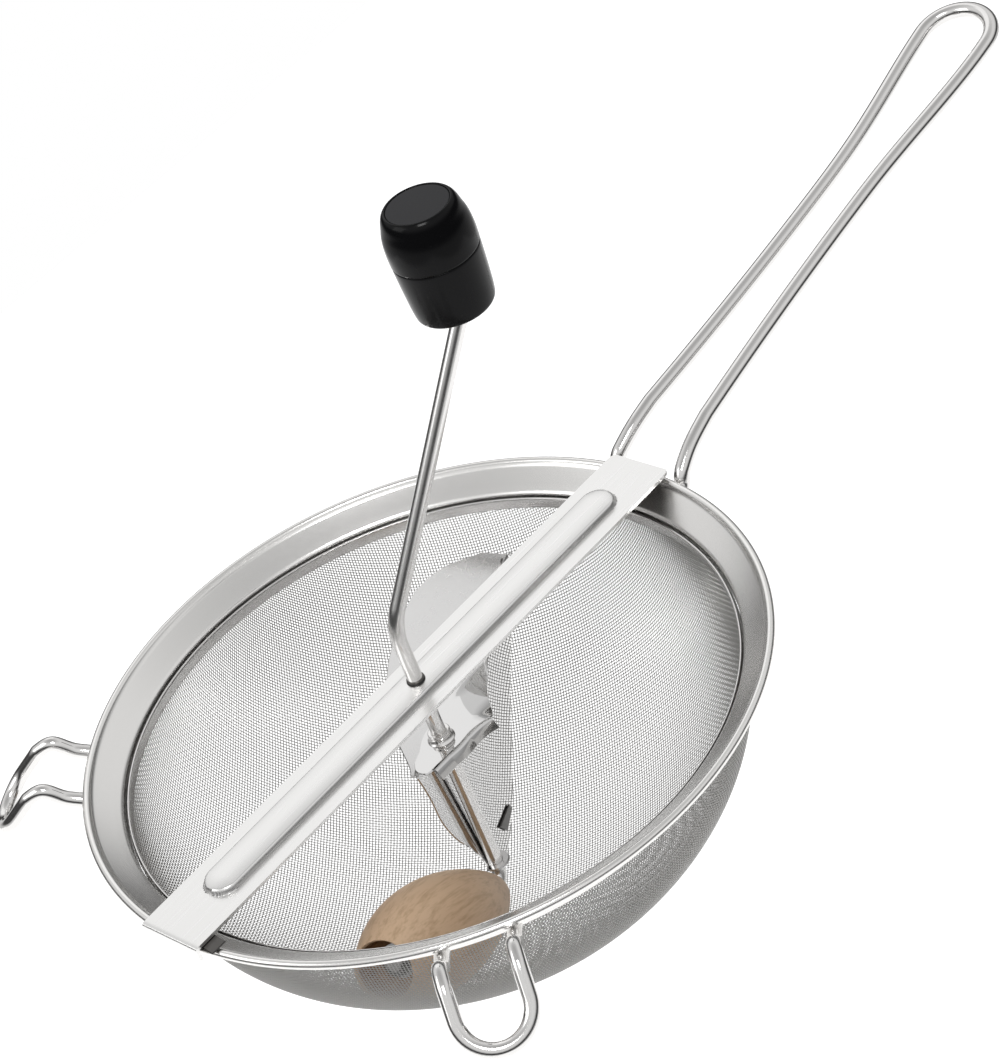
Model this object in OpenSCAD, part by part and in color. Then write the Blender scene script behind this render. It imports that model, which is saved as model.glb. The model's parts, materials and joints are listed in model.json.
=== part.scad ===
// Hand-cranked food mill: a wire mesh strainer with a crossbar that carries a crank,
// a sheet scraper and a wooden roller.
// Millimetres.  The origin is the centre of the rolled rim, on the crank's axis.
// +X points to the long handle, +Z up.

/* [Rim and bowl] */
// Outer diameter of the rolled rim
rim_d = 240; // [210:1:270]
// Diameter of the rolled bead on the rim
bead_d = 3; // [2.6:0.1:3.6]
// Width of the sloping band inside the bead, measured level
band_w = 9; // [7:0.5:11]
// Drop of the sloping band
band_drop = 5.6; // [4:0.2:7]
// Thickness of the rim's sheet
rim_t = 0.8; // [0.6:0.1:1]
// Height of the upright neck below the band
neck_h = 6.4; // [5:0.2:8]
// Thickness of the woven mesh
mesh_t = 0.9; // [0.7:0.1:1.2]
// Depth of the mesh bowl below the neck's shoulder
bowl_h = 81.2; // [70:0.2:92]
// Roundness of the bowl: 2 is an ellipse, less is more pointed
bowl_round = 1.9; // [1.8:0.01:2.1]
// Thickness of the ring that clamps the mesh
clamp_t = 0.7; // [0.5:0.1:1]

/* [Long handle] */
// Diameter of the handle's wire
handle_wire_d = 5.8; // [5:0.1:6.6]
// Reach of the handle beyond the rim
handle_len = 223; // [180:1:250]
// Upward slope of the handle, in degrees
handle_slope = 9.7; // [6:0.1:13]
// Extra rise of the handle towards its end
handle_lift = 3.4; // [0:0.2:8]
// Half the distance between the two legs where they are welded on
handle_root_y = 15.4; // [14.6:0.1:17]
// Half the distance between the two legs at the waist
handle_waist_y = 9.5; // [7:0.1:11]
// Radius of the loop at the handle's end
handle_loop_r = 14.6; // [12:0.2:18]

/* [Pot hooks] */
// Diameter of the hooks' wire
hook_wire_d = 5.2; // [4:0.1:6]
// Angle between the long handle and each hook, in degrees
hook_azimuth = 129.6; // [115:0.2:145]
// Distance between the two legs of a hook
hook_gap = 23.6; // [20:0.2:28]
// Reach of a hook beyond the rim
hook_reach = 35; // [28:1:42]
// Height of a hook's knee above the rim's centre
hook_knee_z = 4.6; // [3:0.2:8]
// Level of a hook's end
hook_end_z = -12.8; // [-20:0.2:-6]

/* [Crossbar] */
// Width of the crossbar
bar_w = 26; // [22:0.5:30]
// Thickness of the crossbar's sheet
bar_t = 1.2; // [1:0.1:1.6]
// Width of the raised rib along the crossbar
rib_w = 14; // [12:0.5:16]
// Height of the raised rib
rib_h = 2.6; // [2:0.1:3.4]
// Flat left at each end of the crossbar beyond the rib
rib_end_gap = 17.5; // [14:0.5:30]
// Thickness of the hook and clip strips under the crossbar
strip_t = 1.1; // [0.8:0.1:1.2]
// Width of the hook and clip strips
strip_w = 16; // [10:0.5:17]
// Drop of the flap at the clip end
flap_h = 7; // [5:0.5:9]

/* [Crank] */
// Diameter of the crank's rod
rod_d = 5.3; // [4.8:0.1:5.8]
// Radius of the crank, from its axis to the knob's axis
crank_r = 61.8; // [45:0.2:75]
// Height at which the arm leaves the crank's axis
arm_start_z = 29.9; // [23:0.1:36]
// Height at which the arm ends under the knob
arm_end_z = 118.4; // [100:0.2:130]
// Direction of the arm at rest, in degrees from the long handle
arm_azimuth = -15; // [-60:1:30]
// Running clearance of the rod in its holes, on the radius
run_fit = 0.08; // [0.03:0.01:0.1]

/* [Knob] */
// Largest diameter of the knob
knob_d = 29.6; // [26:0.2:32]
// Height of the knob
knob_h = 39.1; // [36:0.1:46]
// Height of the knob's lower sleeve
knob_sleeve_h = 21.1; // [17:0.1:23]
// Diameter of the inlaid disc on top of the knob
knob_disc_d = 21; // [17:0.2:21.4]

/* [Roller] */
// Direction of the roller at rest, in degrees from the long handle
roller_azimuth = 205.5; // [190:0.5:220]
// Upward slope of the roller's axle, in degrees
roller_slope = 31.2; // [28:0.2:36]
// Height above the mesh at which the axle's line crosses the crank's axis
axle_corner_z = 1.4; // [0:0.1:3]
// Where the roller starts, along its axle
roller_start = 10.9; // [10.8:0.1:16]
// Length of the roller
roller_len = 91.6; // [74:0.2:94]
// Gap between the roller or the scraper and the mesh
mesh_gap = 0.4; // [0.3:0.1:1]
// Diameter of the recess in the roller's outer end
recess_d = 17.8; // [14:0.2:18.4]
// Depth of the recess in the roller's outer end
recess_depth = 12; // [9:0.5:16]

/* [Scraper] */
// Thickness of the scraper's sheet
blade_t = 0.9; // [0.7:0.1:1.2]
// Level of the fold between the upright blade and its flange
fold_z = -21.7; // [-26:0.1:-21]
// Thickness of the plate that the rod passes through
plate_t = 1.2; // [0.9:0.1:1.4]
// Direction of the scraping edge at rest, in degrees from the long handle
blade_azimuth = 33; // [28:1:38]
// Reach of the scraper's tip from the crank's axis
blade_reach = 103; // [80:1:104]
// Greatest width of the flange behind the fold
flange_w = 27.7; // [20:0.1:30]

/* [Hidden] */
$fn = 48;

seam = 0.05;                         // gap between pieces that touch on the same body
rest_gap = 0.3;                      // gap between pieces of different bodies at rest

// Rim: the bead's centre circle, and the points of the band below it
bead_r = bead_d / 2;
bead_ring_r = rim_d / 2 - bead_r;
band_out_r = bead_ring_r - 0.8 * bead_r;
band_in_r = band_out_r - band_w;
neck_z = -band_drop;
neck_in_r = band_in_r - 0.5;
mesh_top_z = neck_z - 1;
clamp_top_z = neck_z - 1.3;

// Bowl: the mesh's outer face is a superellipse turned about Z
shoulder_z = neck_z - neck_h + 0.2;
mesh_out_r = neck_in_r - seam;
mesh_in_r = mesh_out_r - mesh_t;
bowl_in_h = bowl_h - mesh_t;
bowl_steps = 40;
function bowl_curve(r, h, n) = [for (i = [0 : n]) let (a = 90 * i / n)
    [r * pow(max(cos(a), 0), 2 / bowl_round), shoulder_z - h * pow(sin(a), 2 / bowl_round)]];
// Height of the mesh's inner face at radius r, less a gap
function bowl_z(r, gap) = let (a = mesh_in_r - gap, h = bowl_in_h - gap)
    shoulder_z - h * pow(max(1 - pow(min(r / a, 1), bowl_round), 0), 1 / bowl_round);
mesh_floor_z = shoulder_z - bowl_in_h;

// Handle: it leaves the rim just under the bead, narrows to the waist and widens to the loop
handle_r = handle_wire_d / 2;
loop_stretch = 0.94;                 // the loop is this much shorter than a half circle
loop_x = handle_len - handle_r - loop_stretch * handle_loop_r;
waist_x = 0.606 * loop_x;
ramp_x = 24;                         // from here on the legs run straight
ramp_z = 9.4;
lift_share = 0.67;                   // the extra rise starts at this share of the reach

// Crossbar: it lies on the hook strip, which wraps round the bead
strip_in_r = bead_r + 0.4;
bar_low_z = strip_in_r + strip_t;
bar_top_z = bar_low_z + bar_t;
bar_reach = rim_d / 2;
rib_reach = bar_reach - rib_end_gap;
flap_x = -(bar_reach + 0.8);
bush_r = rod_d / 2 + 1.4;
bush_low_z = -2;
bush_lip_z = bar_top_z + rib_h + seam;
bush_top_z = bush_lip_z + 0.35;

// Crank rod
rod_r = rod_d / 2;
rod_hole_r = rod_r + run_fit;
bend_swell = 0.01;                   // a bend of the rod is this much thicker, on the radius
bend_lap = 0.2;                      // the straight lengths run this far into each bend
arm_tilt = atan2(crank_r, arm_end_z - arm_start_z);
arm_bend_r = 14;
wrist_bend_r = 8;
arm_tangent = arm_bend_r * tan(arm_tilt / 2);
wrist_tangent = wrist_bend_r * tan(arm_tilt / 2);
arm_length = norm([crank_r, arm_end_z - arm_start_z]);
knob_z = arm_end_z + wrist_tangent + 1.6;
knob_fit = 0.3;
nut_t = 0.8;
spindle_top_z = knob_z + knob_h - 5.5;

// Roller axle: it leaves the crank's axis just above the mesh
axle_bend_r = 5.5;
axle_turn = 90 + roller_slope;
axle_tangent = axle_bend_r * tan(axle_turn / 2);
corner_z = mesh_floor_z + axle_corner_z;
washer_t = 0.6;
roller_end = roller_start + roller_len;
recess_floor = roller_end - recess_depth;
axle_end = recess_floor + rest_gap + washer_t + seam + nut_t + 2.6;

// Roller outline: at each place along the axle, the distance to the mesh less a gap
roller_steps = 26;
wall = bowl_curve(mesh_in_r, bowl_in_h, 120);
function axle_point(s) = [s * cos(roller_slope), corner_z + s * sin(roller_slope)];
function wall_distance(p) = min([for (w = wall) norm(w - p)]);
function roller_r(s) = wall_distance(axle_point(s)) - mesh_gap;

// Scraper: the fold runs straight from the heel behind the rod to the tip
heel = [-17, -2.8, fold_z];
tip_az = blade_azimuth - 4.5;
tip = [(blade_reach - 6) * cos(tip_az), (blade_reach - 6) * sin(tip_az), fold_z - 3];
fold_azimuth = atan2(tip[1] - heel[1], tip[0] - heel[0]);
blade_steps = 18;
blade_rows = 6;
edge_start = [-0.5, rod_r + 0.5];    // the scraping edge starts here, beside the rod
// Inner edge of the blade from the heel down to the scraping edge, in even steps of height:
// its distance from the straight line between the two
inner_bulge = [[0, 0], [-1.2, -0.8], [-3.8, -2.3], [-3.3, -2.1], [-0.4, -0.4], [0.6, 0.3], [0, 0]];
flange_rise = 0.17;                  // rise of the flange for each mm behind the fold
// Width of the flange along the fold, as shares of the fold and of the greatest width
flange_shape = [[0, 0.04], [0.05, 0.15], [0.1, 0.3], [0.19, 0.53], [0.27, 0.68], [0.34, 0.79],
                [0.43, 0.89], [0.52, 0.955], [0.66, 1], [0.79, 0.985], [0.885, 0.85],
                [0.96, 0.6], [1, 0.25]];
plate_lap = 1.5;                     // the plate lies this far over the flange
plate_low_z = fold_z + flange_rise * plate_lap + blade_t / 4 + 3 * seam;
plate_z = plate_low_z + plate_t;
front_y = -10;
plate_left = -16.2;
plate_right = 18.2;
plate_lip_h = 1;                 // lip along the plate's front edge
foot_z = corner_z + axle_tangent + 0.3;
foot_t = 1.2;
foot_azimuth = blade_azimuth - 10;
foot_face_y = rod_r - 0.12;          // where the blade's face passes the rod, less the seam

function mix(a, b, t) = a + (b - a) * t;
function unit(v) = v / norm(v);

// Points of a smooth curve through the given points, n steps to a span
function at(p, i) = p[max(0, min(len(p) - 1, i))];
function smooth(p, n) = [for (i = [0 : len(p) - 2]) for (k = [0 : (i == len(p) - 2 ? n : n - 1)])
    let (t = k / n, a = at(p, i - 1), b = p[i], c = p[i + 1], d = at(p, i + 2))
    0.5 * (2 * b + (c - a) * t + (2 * a - 5 * b + 4 * c - d) * t * t
           + (3 * b - a - 3 * c + d) * t * t * t)];

// A round wire swept along a list of points; the frame is carried by a fixed side vector
module wire(path, r, sides, side) {
    n = len(path);
    tangent = [for (i = [0 : n - 1]) unit(path[min(i + 1, n - 1)] - path[max(i - 1, 0)])];
    ring = [for (i = [0 : n - 1]) let (u = unit(cross(tangent[i], side)), v = cross(tangent[i], u))
        for (k = [0 : sides - 1]) let (a = 360 * k / sides) path[i] + r * (cos(a) * u + sin(a) * v)];
    faces = concat(
        [[for (k = [0 : sides - 1]) k]],
        [for (i = [0 : n - 2]) for (k = [0 : sides - 1]) let (j = (k + 1) % sides)
            [i * sides + j, i * sides + k, (i + 1) * sides + k, (i + 1) * sides + j]],
        [[for (k = [sides - 1 : -1 : 0]) (n - 1) * sides + k]]);
    polyhedron(points = ring, faces = faces, convexity = 6);
}

// A sheet of even thickness on a grid of points, rows by columns
module sheet(grid, t) {
    rows = len(grid);
    cols = len(grid[0]);
    function normal(i, j) = unit(cross(
        grid[min(i + 1, rows - 1)][j] - grid[max(i - 1, 0)][j],
        grid[i][min(j + 1, cols - 1)] - grid[i][max(j - 1, 0)]));
    front = [for (i = [0 : rows - 1]) for (j = [0 : cols - 1]) grid[i][j] + normal(i, j) * t / 2];
    back = [for (i = [0 : rows - 1]) for (j = [0 : cols - 1]) grid[i][j] - normal(i, j) * t / 2];
    m = rows * cols;
    function id(i, j) = i * cols + j;
    edge = concat([for (j = [0 : cols - 1]) id(0, j)], [for (i = [1 : rows - 1]) id(i, cols - 1)],
        [for (j = [cols - 2 : -1 : 0]) id(rows - 1, j)], [for (i = [rows - 2 : -1 : 1]) id(i, 0)]);
    e = len(edge);
    faces = concat(
        [for (i = [0 : rows - 2]) for (j = [0 : cols - 2]) each [
            [id(i, j), id(i, j + 1), id(i + 1, j + 1)], [id(i, j), id(i + 1, j + 1), id(i + 1, j)],
            [m + id(i, j), m + id(i + 1, j + 1), m + id(i, j + 1)],
            [m + id(i, j), m + id(i + 1, j), m + id(i + 1, j + 1)]]],
        [for (k = [0 : e - 1]) let (a = edge[k], b = edge[(k + 1) % e]) each [
            [a, m + b, b], [a, m + a, m + b]]]);
    polyhedron(points = concat(front, back), faces = faces, convexity = 6);
}

// A quarter or other bend of the rod, in the XZ plane, starting at the origin along +Z
// and turning towards +X
module bend(radius, angle) {
    translate([radius, 0, 0]) rotate([90, 0, 0]) rotate([0, 0, 180 - angle])
        rotate_extrude(angle = angle, $fn = 96) translate([radius, 0]) circle(rod_r + bend_swell);
}

// A straight length of the rod between z0 and z1, run into the bends at its ends
module straight(z0, z1, lap0, lap1) {
    translate([0, 0, z0 - lap0]) cylinder(r = rod_r, h = z1 - z0 + lap0 + lap1);
}

module ring(inner_r, outer_r, z0, z1) {
    difference() {
        translate([0, 0, z0]) cylinder(r = outer_r, h = z1 - z0);
        translate([0, 0, z0 - 1]) cylinder(r = inner_r, h = z1 - z0 + 2);
    }
}

// Places its children with Z along the roller's axle, at the axle's corner
module on_axle() {
    rotate([0, 0, roller_azimuth]) translate([0, 0, corner_z]) rotate([0, 90 - roller_slope, 0])
        children();
}

// Places its children with Z along the knob's spindle
module on_spindle() {
    rotate([0, 0, arm_azimuth]) translate([crank_r, 0, knob_z]) children();
}

// ---- Strainer ----

module rim_band() {
    color("gainsboro") rotate_extrude($fn = 160) {
        translate([bead_ring_r, 0]) circle(bead_r, $fn = 24);
        polygon([
            [band_out_r, 0.3], [band_in_r, neck_z], [neck_in_r, neck_z - 0.6],
            [neck_in_r, neck_z - neck_h], [neck_in_r + rim_t, neck_z - neck_h],
            [neck_in_r + rim_t, neck_z - 0.8], [band_out_r, 0.3 - 1.4 * rim_t]]);
    }
}

module mesh_clamp_ring() {
    color("silver") rotate_extrude($fn = 160) polygon([
        [mesh_in_r - seam, clamp_top_z], [mesh_in_r - seam - clamp_t, clamp_top_z - 0.5],
        [mesh_in_r - seam - clamp_t, shoulder_z + 0.6], [mesh_in_r - seam, shoulder_z + 0.1]]);
}

module mesh_bowl() {
    outer = bowl_curve(mesh_out_r, bowl_h, bowl_steps);
    inner = bowl_curve(mesh_in_r, bowl_in_h, bowl_steps);
    color("lightgray") rotate_extrude($fn = 160) polygon(concat(
        [[mesh_out_r, mesh_top_z]], outer,
        [for (i = [bowl_steps : -1 : 0]) inner[i]], [[mesh_in_r, mesh_top_z]]));
}

// Half the distance between the handle's legs at x beyond the rim
function handle_y(x) = x < waist_x
    ? handle_waist_y + (handle_root_y - handle_waist_y)
        * (0.865 * pow((waist_x - x) / waist_x, 2) + 0.135 * pow(max(1 - x / 14, 0), 2))
    : let (v = pow((x - waist_x) / (loop_x - waist_x), 1.25))
        handle_waist_y + (handle_loop_r - handle_waist_y) * v * v * (3 - 2 * v);
// Height of the handle's centreline at x beyond the rim
function handle_z(x) = ramp_z + (x - ramp_x) * tan(handle_slope)
    + handle_lift * pow(max(x / handle_len - lift_share, 0) / (1 - lift_share), 2);

module handle_loop() {
    bead_gap = bead_r + handle_r;
    // side view of a leg: from its weld under the band, round the bead and up to the slope
    weld = [[-7.5, -bead_gap - 3], [-4.5, -bead_gap - 0.6]];
    round_bead = [for (a = [-90, -62, -36, -12]) [bead_gap * cos(a) - bead_r, bead_gap * sin(a)]];
    root = smooth(concat(weld, round_bead, [[4.3, 0.9], [6.4, 2.3], [9, 3.8], [12, 5.3], [16, 6.9],
        [20, 8.2], [ramp_x, ramp_z]]), 3);
    run = [for (i = [1 : 16]) let (x = mix(ramp_x, loop_x, i / 16)) [x, handle_z(x)]];
    leg = [for (p = concat(root, run)) [rim_d / 2 + p[0], handle_y(max(p[0], 0)), p[1]]];
    loop = [for (i = [1 : 15])
        let (a = 90 - 180 * i / 16, x = loop_x + loop_stretch * handle_loop_r * cos(a))
        [rim_d / 2 + x, handle_loop_r * sin(a), handle_z(x)]];
    back = [for (i = [len(leg) - 1 : -1 : 0]) [leg[i][0], -leg[i][1], leg[i][2]]];
    color("silver")
        wire(concat(leg, loop, back), handle_r, 14, [-sin(handle_slope), 0, cos(handle_slope)]);
}

// One wire hook, pointing along +X from the rim
module pot_hook() {
    r = hook_wire_d / 2;
    half = hook_gap / 2;
    knee = [rim_d / 2 + 15.6, hook_knee_z];
    start = [rim_d / 2 - 6.5, -bead_r - r - 2.85];
    under = [rim_d / 2 - 1, -bead_r - r - seam];
    end = [rim_d / 2 + hook_reach, hook_end_z];
    slope = unit(end - knee);
    drop = norm(end - knee) - half;
    side = smooth([start, under, [rim_d / 2 + 6, -0.9], knee - [3.4, 0.6], knee + slope * 3.6], 5);
    leg = concat([for (p = side) [p[0], half, p[1]]],
        [for (i = [1 : 2]) let (q = knee + slope * mix(3.6, drop, i / 2)) [q[0], half, q[1]]]);
    turn = [for (i = [1 : 11]) let (a = 90 - 15 * i, q = knee + slope * (drop + half * cos(a)))
        [q[0], half * sin(a), q[1]]];
    back = [for (i = [len(leg) - 1 : -1 : 0]) [leg[i][0], -leg[i][1], leg[i][2]]];
    color("silver") wire(concat(leg, turn, back), r, 12, [0.5, 0, 0.87]);
}
module pot_hook_left() { rotate([0, 0, hook_azimuth]) pot_hook(); }
module pot_hook_right() { rotate([0, 0, -hook_azimuth]) pot_hook(); }

// ---- Crossbar ----

// Outline of the rib's section, right half, rising from the bar's top face
function rib_arc(w, h, base) = [for (i = [0 : 10]) let (a = 9 * i)
    [w / 2 * sin(a), base + h * pow(cos(a), 1.2)]];

module rib_solid(w, h, base) {
    half = rib_arc(w, h, base);
    section = concat(half, [[w / 2, base - 0.01], [-w / 2, base - 0.01]],
        [for (i = [10 : -1 : 1]) [-half[i][0], half[i][1]]]);
    run = rib_reach - w / 2;
    translate([-run, 0, 0]) rotate([90, 0, 90]) linear_extrude(2 * run) polygon(section);
    for (x = [-run, run]) translate([x, 0, 0])
        rotate_extrude($fn = 48) polygon(concat(half, [[w / 2, base - 0.01], [0, base - 0.01]]));
}

module crossbar() {
    color("gainsboro") difference() {
        union() {
            translate([flap_x - bar_t, -bar_w / 2, bar_low_z])
                cube([bar_reach - flap_x + bar_t, bar_w, bar_t]);
            translate([flap_x - bar_t, -bar_w / 2, bar_top_z - flap_h])
                cube([bar_t, bar_w, flap_h]);
            rib_solid(rib_w, rib_h, bar_top_z);
        }
        difference() {
            rib_solid(rib_w - 2 * bar_t, rib_h, bar_low_z);
            translate([-bar_reach, -rib_w, bar_low_z - 2]) cube([2 * bar_reach, 2 * rib_w, 2]);
        }
        translate([0, 0, bar_low_z - 1]) cylinder(r = bush_r + seam, h = rib_h + bar_t + 3);
    }
}

// Strip under the handle end of the crossbar, curled round the rim's bead
module bar_end_hook() {
    curl = 130;
    strip_run = 16;
    color("dimgray") intersection() {
        translate([bead_ring_r, 0, 0]) union() {
            rotate([90, 0, 0]) translate([0, 0, -strip_w / 2]) linear_extrude(strip_w)
                difference() {
                    circle(strip_in_r + strip_t - seam);
                    circle(strip_in_r);
                    polygon([[0, 0], [0, 9], [-9, 9], [-9, -9], [9 * cos(90 - curl), -9],
                             9 * [cos(90 - curl), sin(90 - curl)]]);
                }
            translate([-strip_run, -strip_w / 2, strip_in_r])
                cube([strip_run + 0.01, strip_w, strip_t - seam]);
        }
        translate([0, -strip_w, -strip_w]) cube([rim_d, 2 * strip_w, 2 * strip_w]);
    }
}

// Spring strip under the clip end of the crossbar: it grips the bead from inside
module rim_clip() {
    strip_run = 22;
    toe_h = 1.4;
    outer_t = 0.4;
    color("dimgray") union() {
        translate([flap_x + seam, -strip_w / 2, strip_in_r])
            cube([strip_run, strip_w, strip_t - seam]);
        translate([flap_x + seam, -strip_w / 2, bar_top_z - flap_h])
            cube([outer_t, strip_w, flap_h - bar_t - strip_t + 0.01]);
        translate([flap_x + strip_run - strip_t + seam, -strip_w / 2, strip_in_r - toe_h])
            cube([strip_t, strip_w, toe_h + 0.01]);
    }
}

module bar_bush() {
    color("black") difference() {
        union() {
            translate([0, 0, bush_low_z]) cylinder(r = bush_r, h = bush_top_z - bush_low_z);
            translate([0, 0, bush_lip_z]) cylinder(r = bush_r + 0.35, h = bush_top_z - bush_lip_z);
        }
        translate([0, 0, bush_low_z - 1]) cylinder(r = rod_hole_r, h = bush_top_z - bush_low_z + 2);
    }
}

// ---- Crank ----

module crank_rod() {
    straight_low = corner_z + axle_tangent;
    straight_high = arm_start_z - arm_tangent;
    wrist_z = arm_end_z + wrist_tangent;
    color("silver") {
        straight(straight_low, straight_high, bend_lap, bend_lap);
        rotate([0, 0, arm_azimuth]) {
            translate([0, 0, straight_high]) bend(arm_bend_r, arm_tilt);
            translate([0, 0, arm_start_z]) rotate([0, arm_tilt, 0])
                straight(arm_tangent, arm_length - wrist_tangent, bend_lap, bend_lap);
            translate([crank_r, 0, wrist_z]) mirror([0, 0, 1]) mirror([1, 0, 0])
                bend(wrist_bend_r, arm_tilt);
            translate([crank_r, 0, 0]) straight(wrist_z, spindle_top_z, bend_lap, 0);
        }
        rotate([0, 0, roller_azimuth]) translate([0, 0, straight_low]) mirror([0, 0, 1])
            bend(axle_bend_r, axle_turn);
        on_axle() straight(axle_tangent, axle_end, bend_lap, 0);
    }
}

module rod_stop_ring() {
    color("dimgray") ring(rod_r + seam, bush_r, bush_top_z + rest_gap,
        bush_top_z + rest_gap + 0.6);
}

module scraper_collar() {
    color("silver") ring(rod_r + seam, rod_r + 1.6, plate_z + seam, plate_z + 3.2);
}

// ---- Scraper ----

// Plan of the plate: straight front edge, curved right edge that runs into the fold
function fold_y(x) = heel[1] + (x - heel[0]) * tan(fold_azimuth);
function plate_outline() = concat(
    [for (a = [180 : 15 : 270]) [plate_left + 4 + 4 * cos(a), front_y + 4 + 4 * sin(a)]],
    [for (a = [270 : 15 : 330]) [plate_right - 3 + 3 * cos(a), front_y + 3 + 3 * sin(a)]],
    smooth([for (p = [[3.9, 7.7], [8.4, 13.5], [14.3, 18.3], [21.9, 23.2], [29, 29]])
        [plate_right + p[0], front_y + p[1]]], 3),
    [for (x = [plate_right + 33, plate_left + 3]) [x, fold_y(x) + plate_lap]]);

module scraper_plate() {
    color("gainsboro") difference() {
        union() {
            translate([0, 0, plate_low_z]) linear_extrude(plate_t) polygon(plate_outline());
            translate([plate_left + 5, front_y, plate_low_z - plate_lip_h])
                cube([plate_right - plate_left - 9, plate_t, plate_lip_h + 0.01]);
        }
        translate([0, 0, plate_low_z - 1]) cylinder(r = rod_r + seam, h = plate_t + 2);
    }
}

// Scraping edge: follows the mesh from beside the rod to the tip
function edge_plan(t) = let (r = mix(norm(edge_start), blade_reach, pow(t, 0.8)),
    a = blade_azimuth + 2 * sin(180 * t) - 4 * t * t * t * t)
    mix([r * cos(a), r * sin(a)], edge_start, pow(1 - t, 6));
function edge_point(t) = let (p = edge_plan(t))
    [p[0], p[1], bowl_z(norm(p), mesh_gap + blade_t / 2)];
function fold_point(t) = mix(heel, tip, t);
// The inner edge bulges back beside the rod
function blade_point(t, j) = let (b = inner_bulge[j])
    mix(fold_point(t), edge_point(t), j / blade_rows) + [b[0], b[1], 0] * pow(1 - t, 5);
// Free edge of the flange, behind the fold
function flange_edge(t) = let (w = flange_w * lookup(t, flange_shape), a = fold_azimuth + 90)
    fold_point(t) + [w * cos(a), w * sin(a), flange_rise * w];

module scraper_blade() {
    color("gainsboro") {
        sheet([for (i = [0 : blade_steps]) [for (j = [0 : blade_rows])
            blade_point(i / blade_steps, j)]], blade_t);
        sheet([for (i = [0 : blade_steps]) let (t = i / blade_steps) [for (j = [0 : 4])
            mix(fold_point(t) - [0, 0, blade_t / 4], flange_edge(t), j / 4)]], blade_t);
    }
}

// Small saddle round the rod just above its bend; its two ends rest on the blade's face
module scraper_foot() {
    color("gainsboro") difference() {
        translate([0, 0, foot_z]) cylinder(r = rod_r + 2.2, h = foot_t);
        translate([0, 0, foot_z - 1]) cylinder(r = rod_r + seam, h = foot_t + 2);
        rotate([0, 0, foot_azimuth]) translate([-10, foot_face_y, foot_z - 1])
            cube([20, 20, foot_t + 2]);
    }
}

// ---- Roller ----

module roller_inner_washer() {
    color("silver") on_axle()
        ring(rod_r + seam, rod_r + 1.6, axle_tangent + bend_lap, roller_start - rest_gap);
}

module roller() {
    edge_round = 0.5;
    start_r = roller_r(roller_start);
    // the inner end is rounded down to a small flat face round the axle
    nose = [for (d = [0, 0.4, 1, 2])
        [start_r - 2.4 * pow(1 - d / 3, 2) + 0.3 * d, roller_start + d]];
    outline = [for (i = [1 : roller_steps - 1])
        let (s = roller_start + roller_len * i / roller_steps) [roller_r(s), s]];
    end_r = roller_r(roller_end);
    color("burlywood") on_axle() difference() {
        rotate_extrude($fn = 96) polygon(concat([[0, roller_start]], nose, outline,
            [[end_r, roller_end - edge_round], [end_r - edge_round, roller_end], [0, roller_end]]));
        translate([0, 0, roller_start - 1]) cylinder(r = rod_hole_r, h = roller_len + 2);
        translate([0, 0, recess_floor]) cylinder(r = recess_d / 2, h = recess_depth + 1);
    }
}

module roller_end_washer() {
    color("silver") on_axle() ring(rod_r + seam, rod_r + 3.4, recess_floor + rest_gap,
        recess_floor + rest_gap + washer_t);
}

module roller_push_nut() {
    z0 = recess_floor + rest_gap + washer_t + seam;
    color("dimgray") on_axle() {
        ring(rod_r + seam, rod_r + 2.4, z0, z0 + nut_t);
        for (a = [0 : 60 : 300]) rotate([0, 0, a]) translate([rod_r + 1.3, -0.5, z0 + nut_t - 0.01])
            cube([1, 1, 0.4]);
    }
}

// ---- Knob ----

module knob_washer() {
    color("silver") on_spindle() ring(rod_r + seam, rod_r + 2, -knob_fit - 0.8, -knob_fit);
}

module knob_sleeve() {
    r = knob_d / 2;
    color("black") on_spindle() difference() {
        rotate_extrude($fn = 96) polygon([[0, 0], [r - 2.8, 0], [r - 2, 0.4], [r - 1.5, 1.4],
            [r - 0.9, 8], [r - 0.4, 15], [r - 0.2, knob_sleeve_h - 0.4],
            [r - 0.5, knob_sleeve_h], [0, knob_sleeve_h]]);
        translate([0, 0, -1]) cylinder(r = rod_hole_r, h = knob_h);
    }
}

module knob_grip() {
    r = knob_d / 2;
    top = knob_h;
    base = knob_sleeve_h + seam;
    disc_r = knob_disc_d / 2;
    // the side bulges a little, draws in above and rounds over to the inlaid disc
    side = smooth([for (p = [[0.1, 0.02], [0, 0.25], [0.2, 0.45], [0.65, 0.6], [1.35, 0.74],
                             [1.95, 0.86], [2.6, 0.94], [3.3, 0.985]])
        [r - p[0], mix(base, top, p[1])]], 3);
    color("black") on_spindle() difference() {
        rotate_extrude($fn = 96) polygon(concat([[0, base], [r - 0.45, base]], side,
            [[disc_r + 0.45, top], [0, top]]));
        translate([0, 0, base - 1]) cylinder(r = rod_hole_r, h = knob_h);
        translate([0, 0, top - 1.2]) cylinder(r = disc_r, h = 2);
        translate([0, 0, top - 8.6]) cylinder(r = rod_r + 3.2, h = 9);
    }
}

module knob_disc() {
    color("dimgray") on_spindle() translate([0, 0, knob_h - 1.2 + seam])
        cylinder(r = knob_disc_d / 2 - seam, h = 1);
}

module knob_push_nut() {
    z0 = knob_h - 8.6 + 0.3;
    color("dimgray") on_spindle() ring(rod_r + seam, rod_r + 2.6, z0, z0 + nut_t);
}

rim_band();
mesh_clamp_ring();
mesh_bowl();
handle_loop();
pot_hook_left();
pot_hook_right();
crossbar();
bar_end_hook();
rim_clip();
bar_bush();
crank_rod();
rod_stop_ring();
scraper_collar();
scraper_plate();
scraper_blade();
scraper_foot();
roller_inner_washer();
roller();
roller_end_washer();
roller_push_nut();
knob_washer();
knob_sleeve();
knob_grip();
knob_disc();
knob_push_nut();
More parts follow.
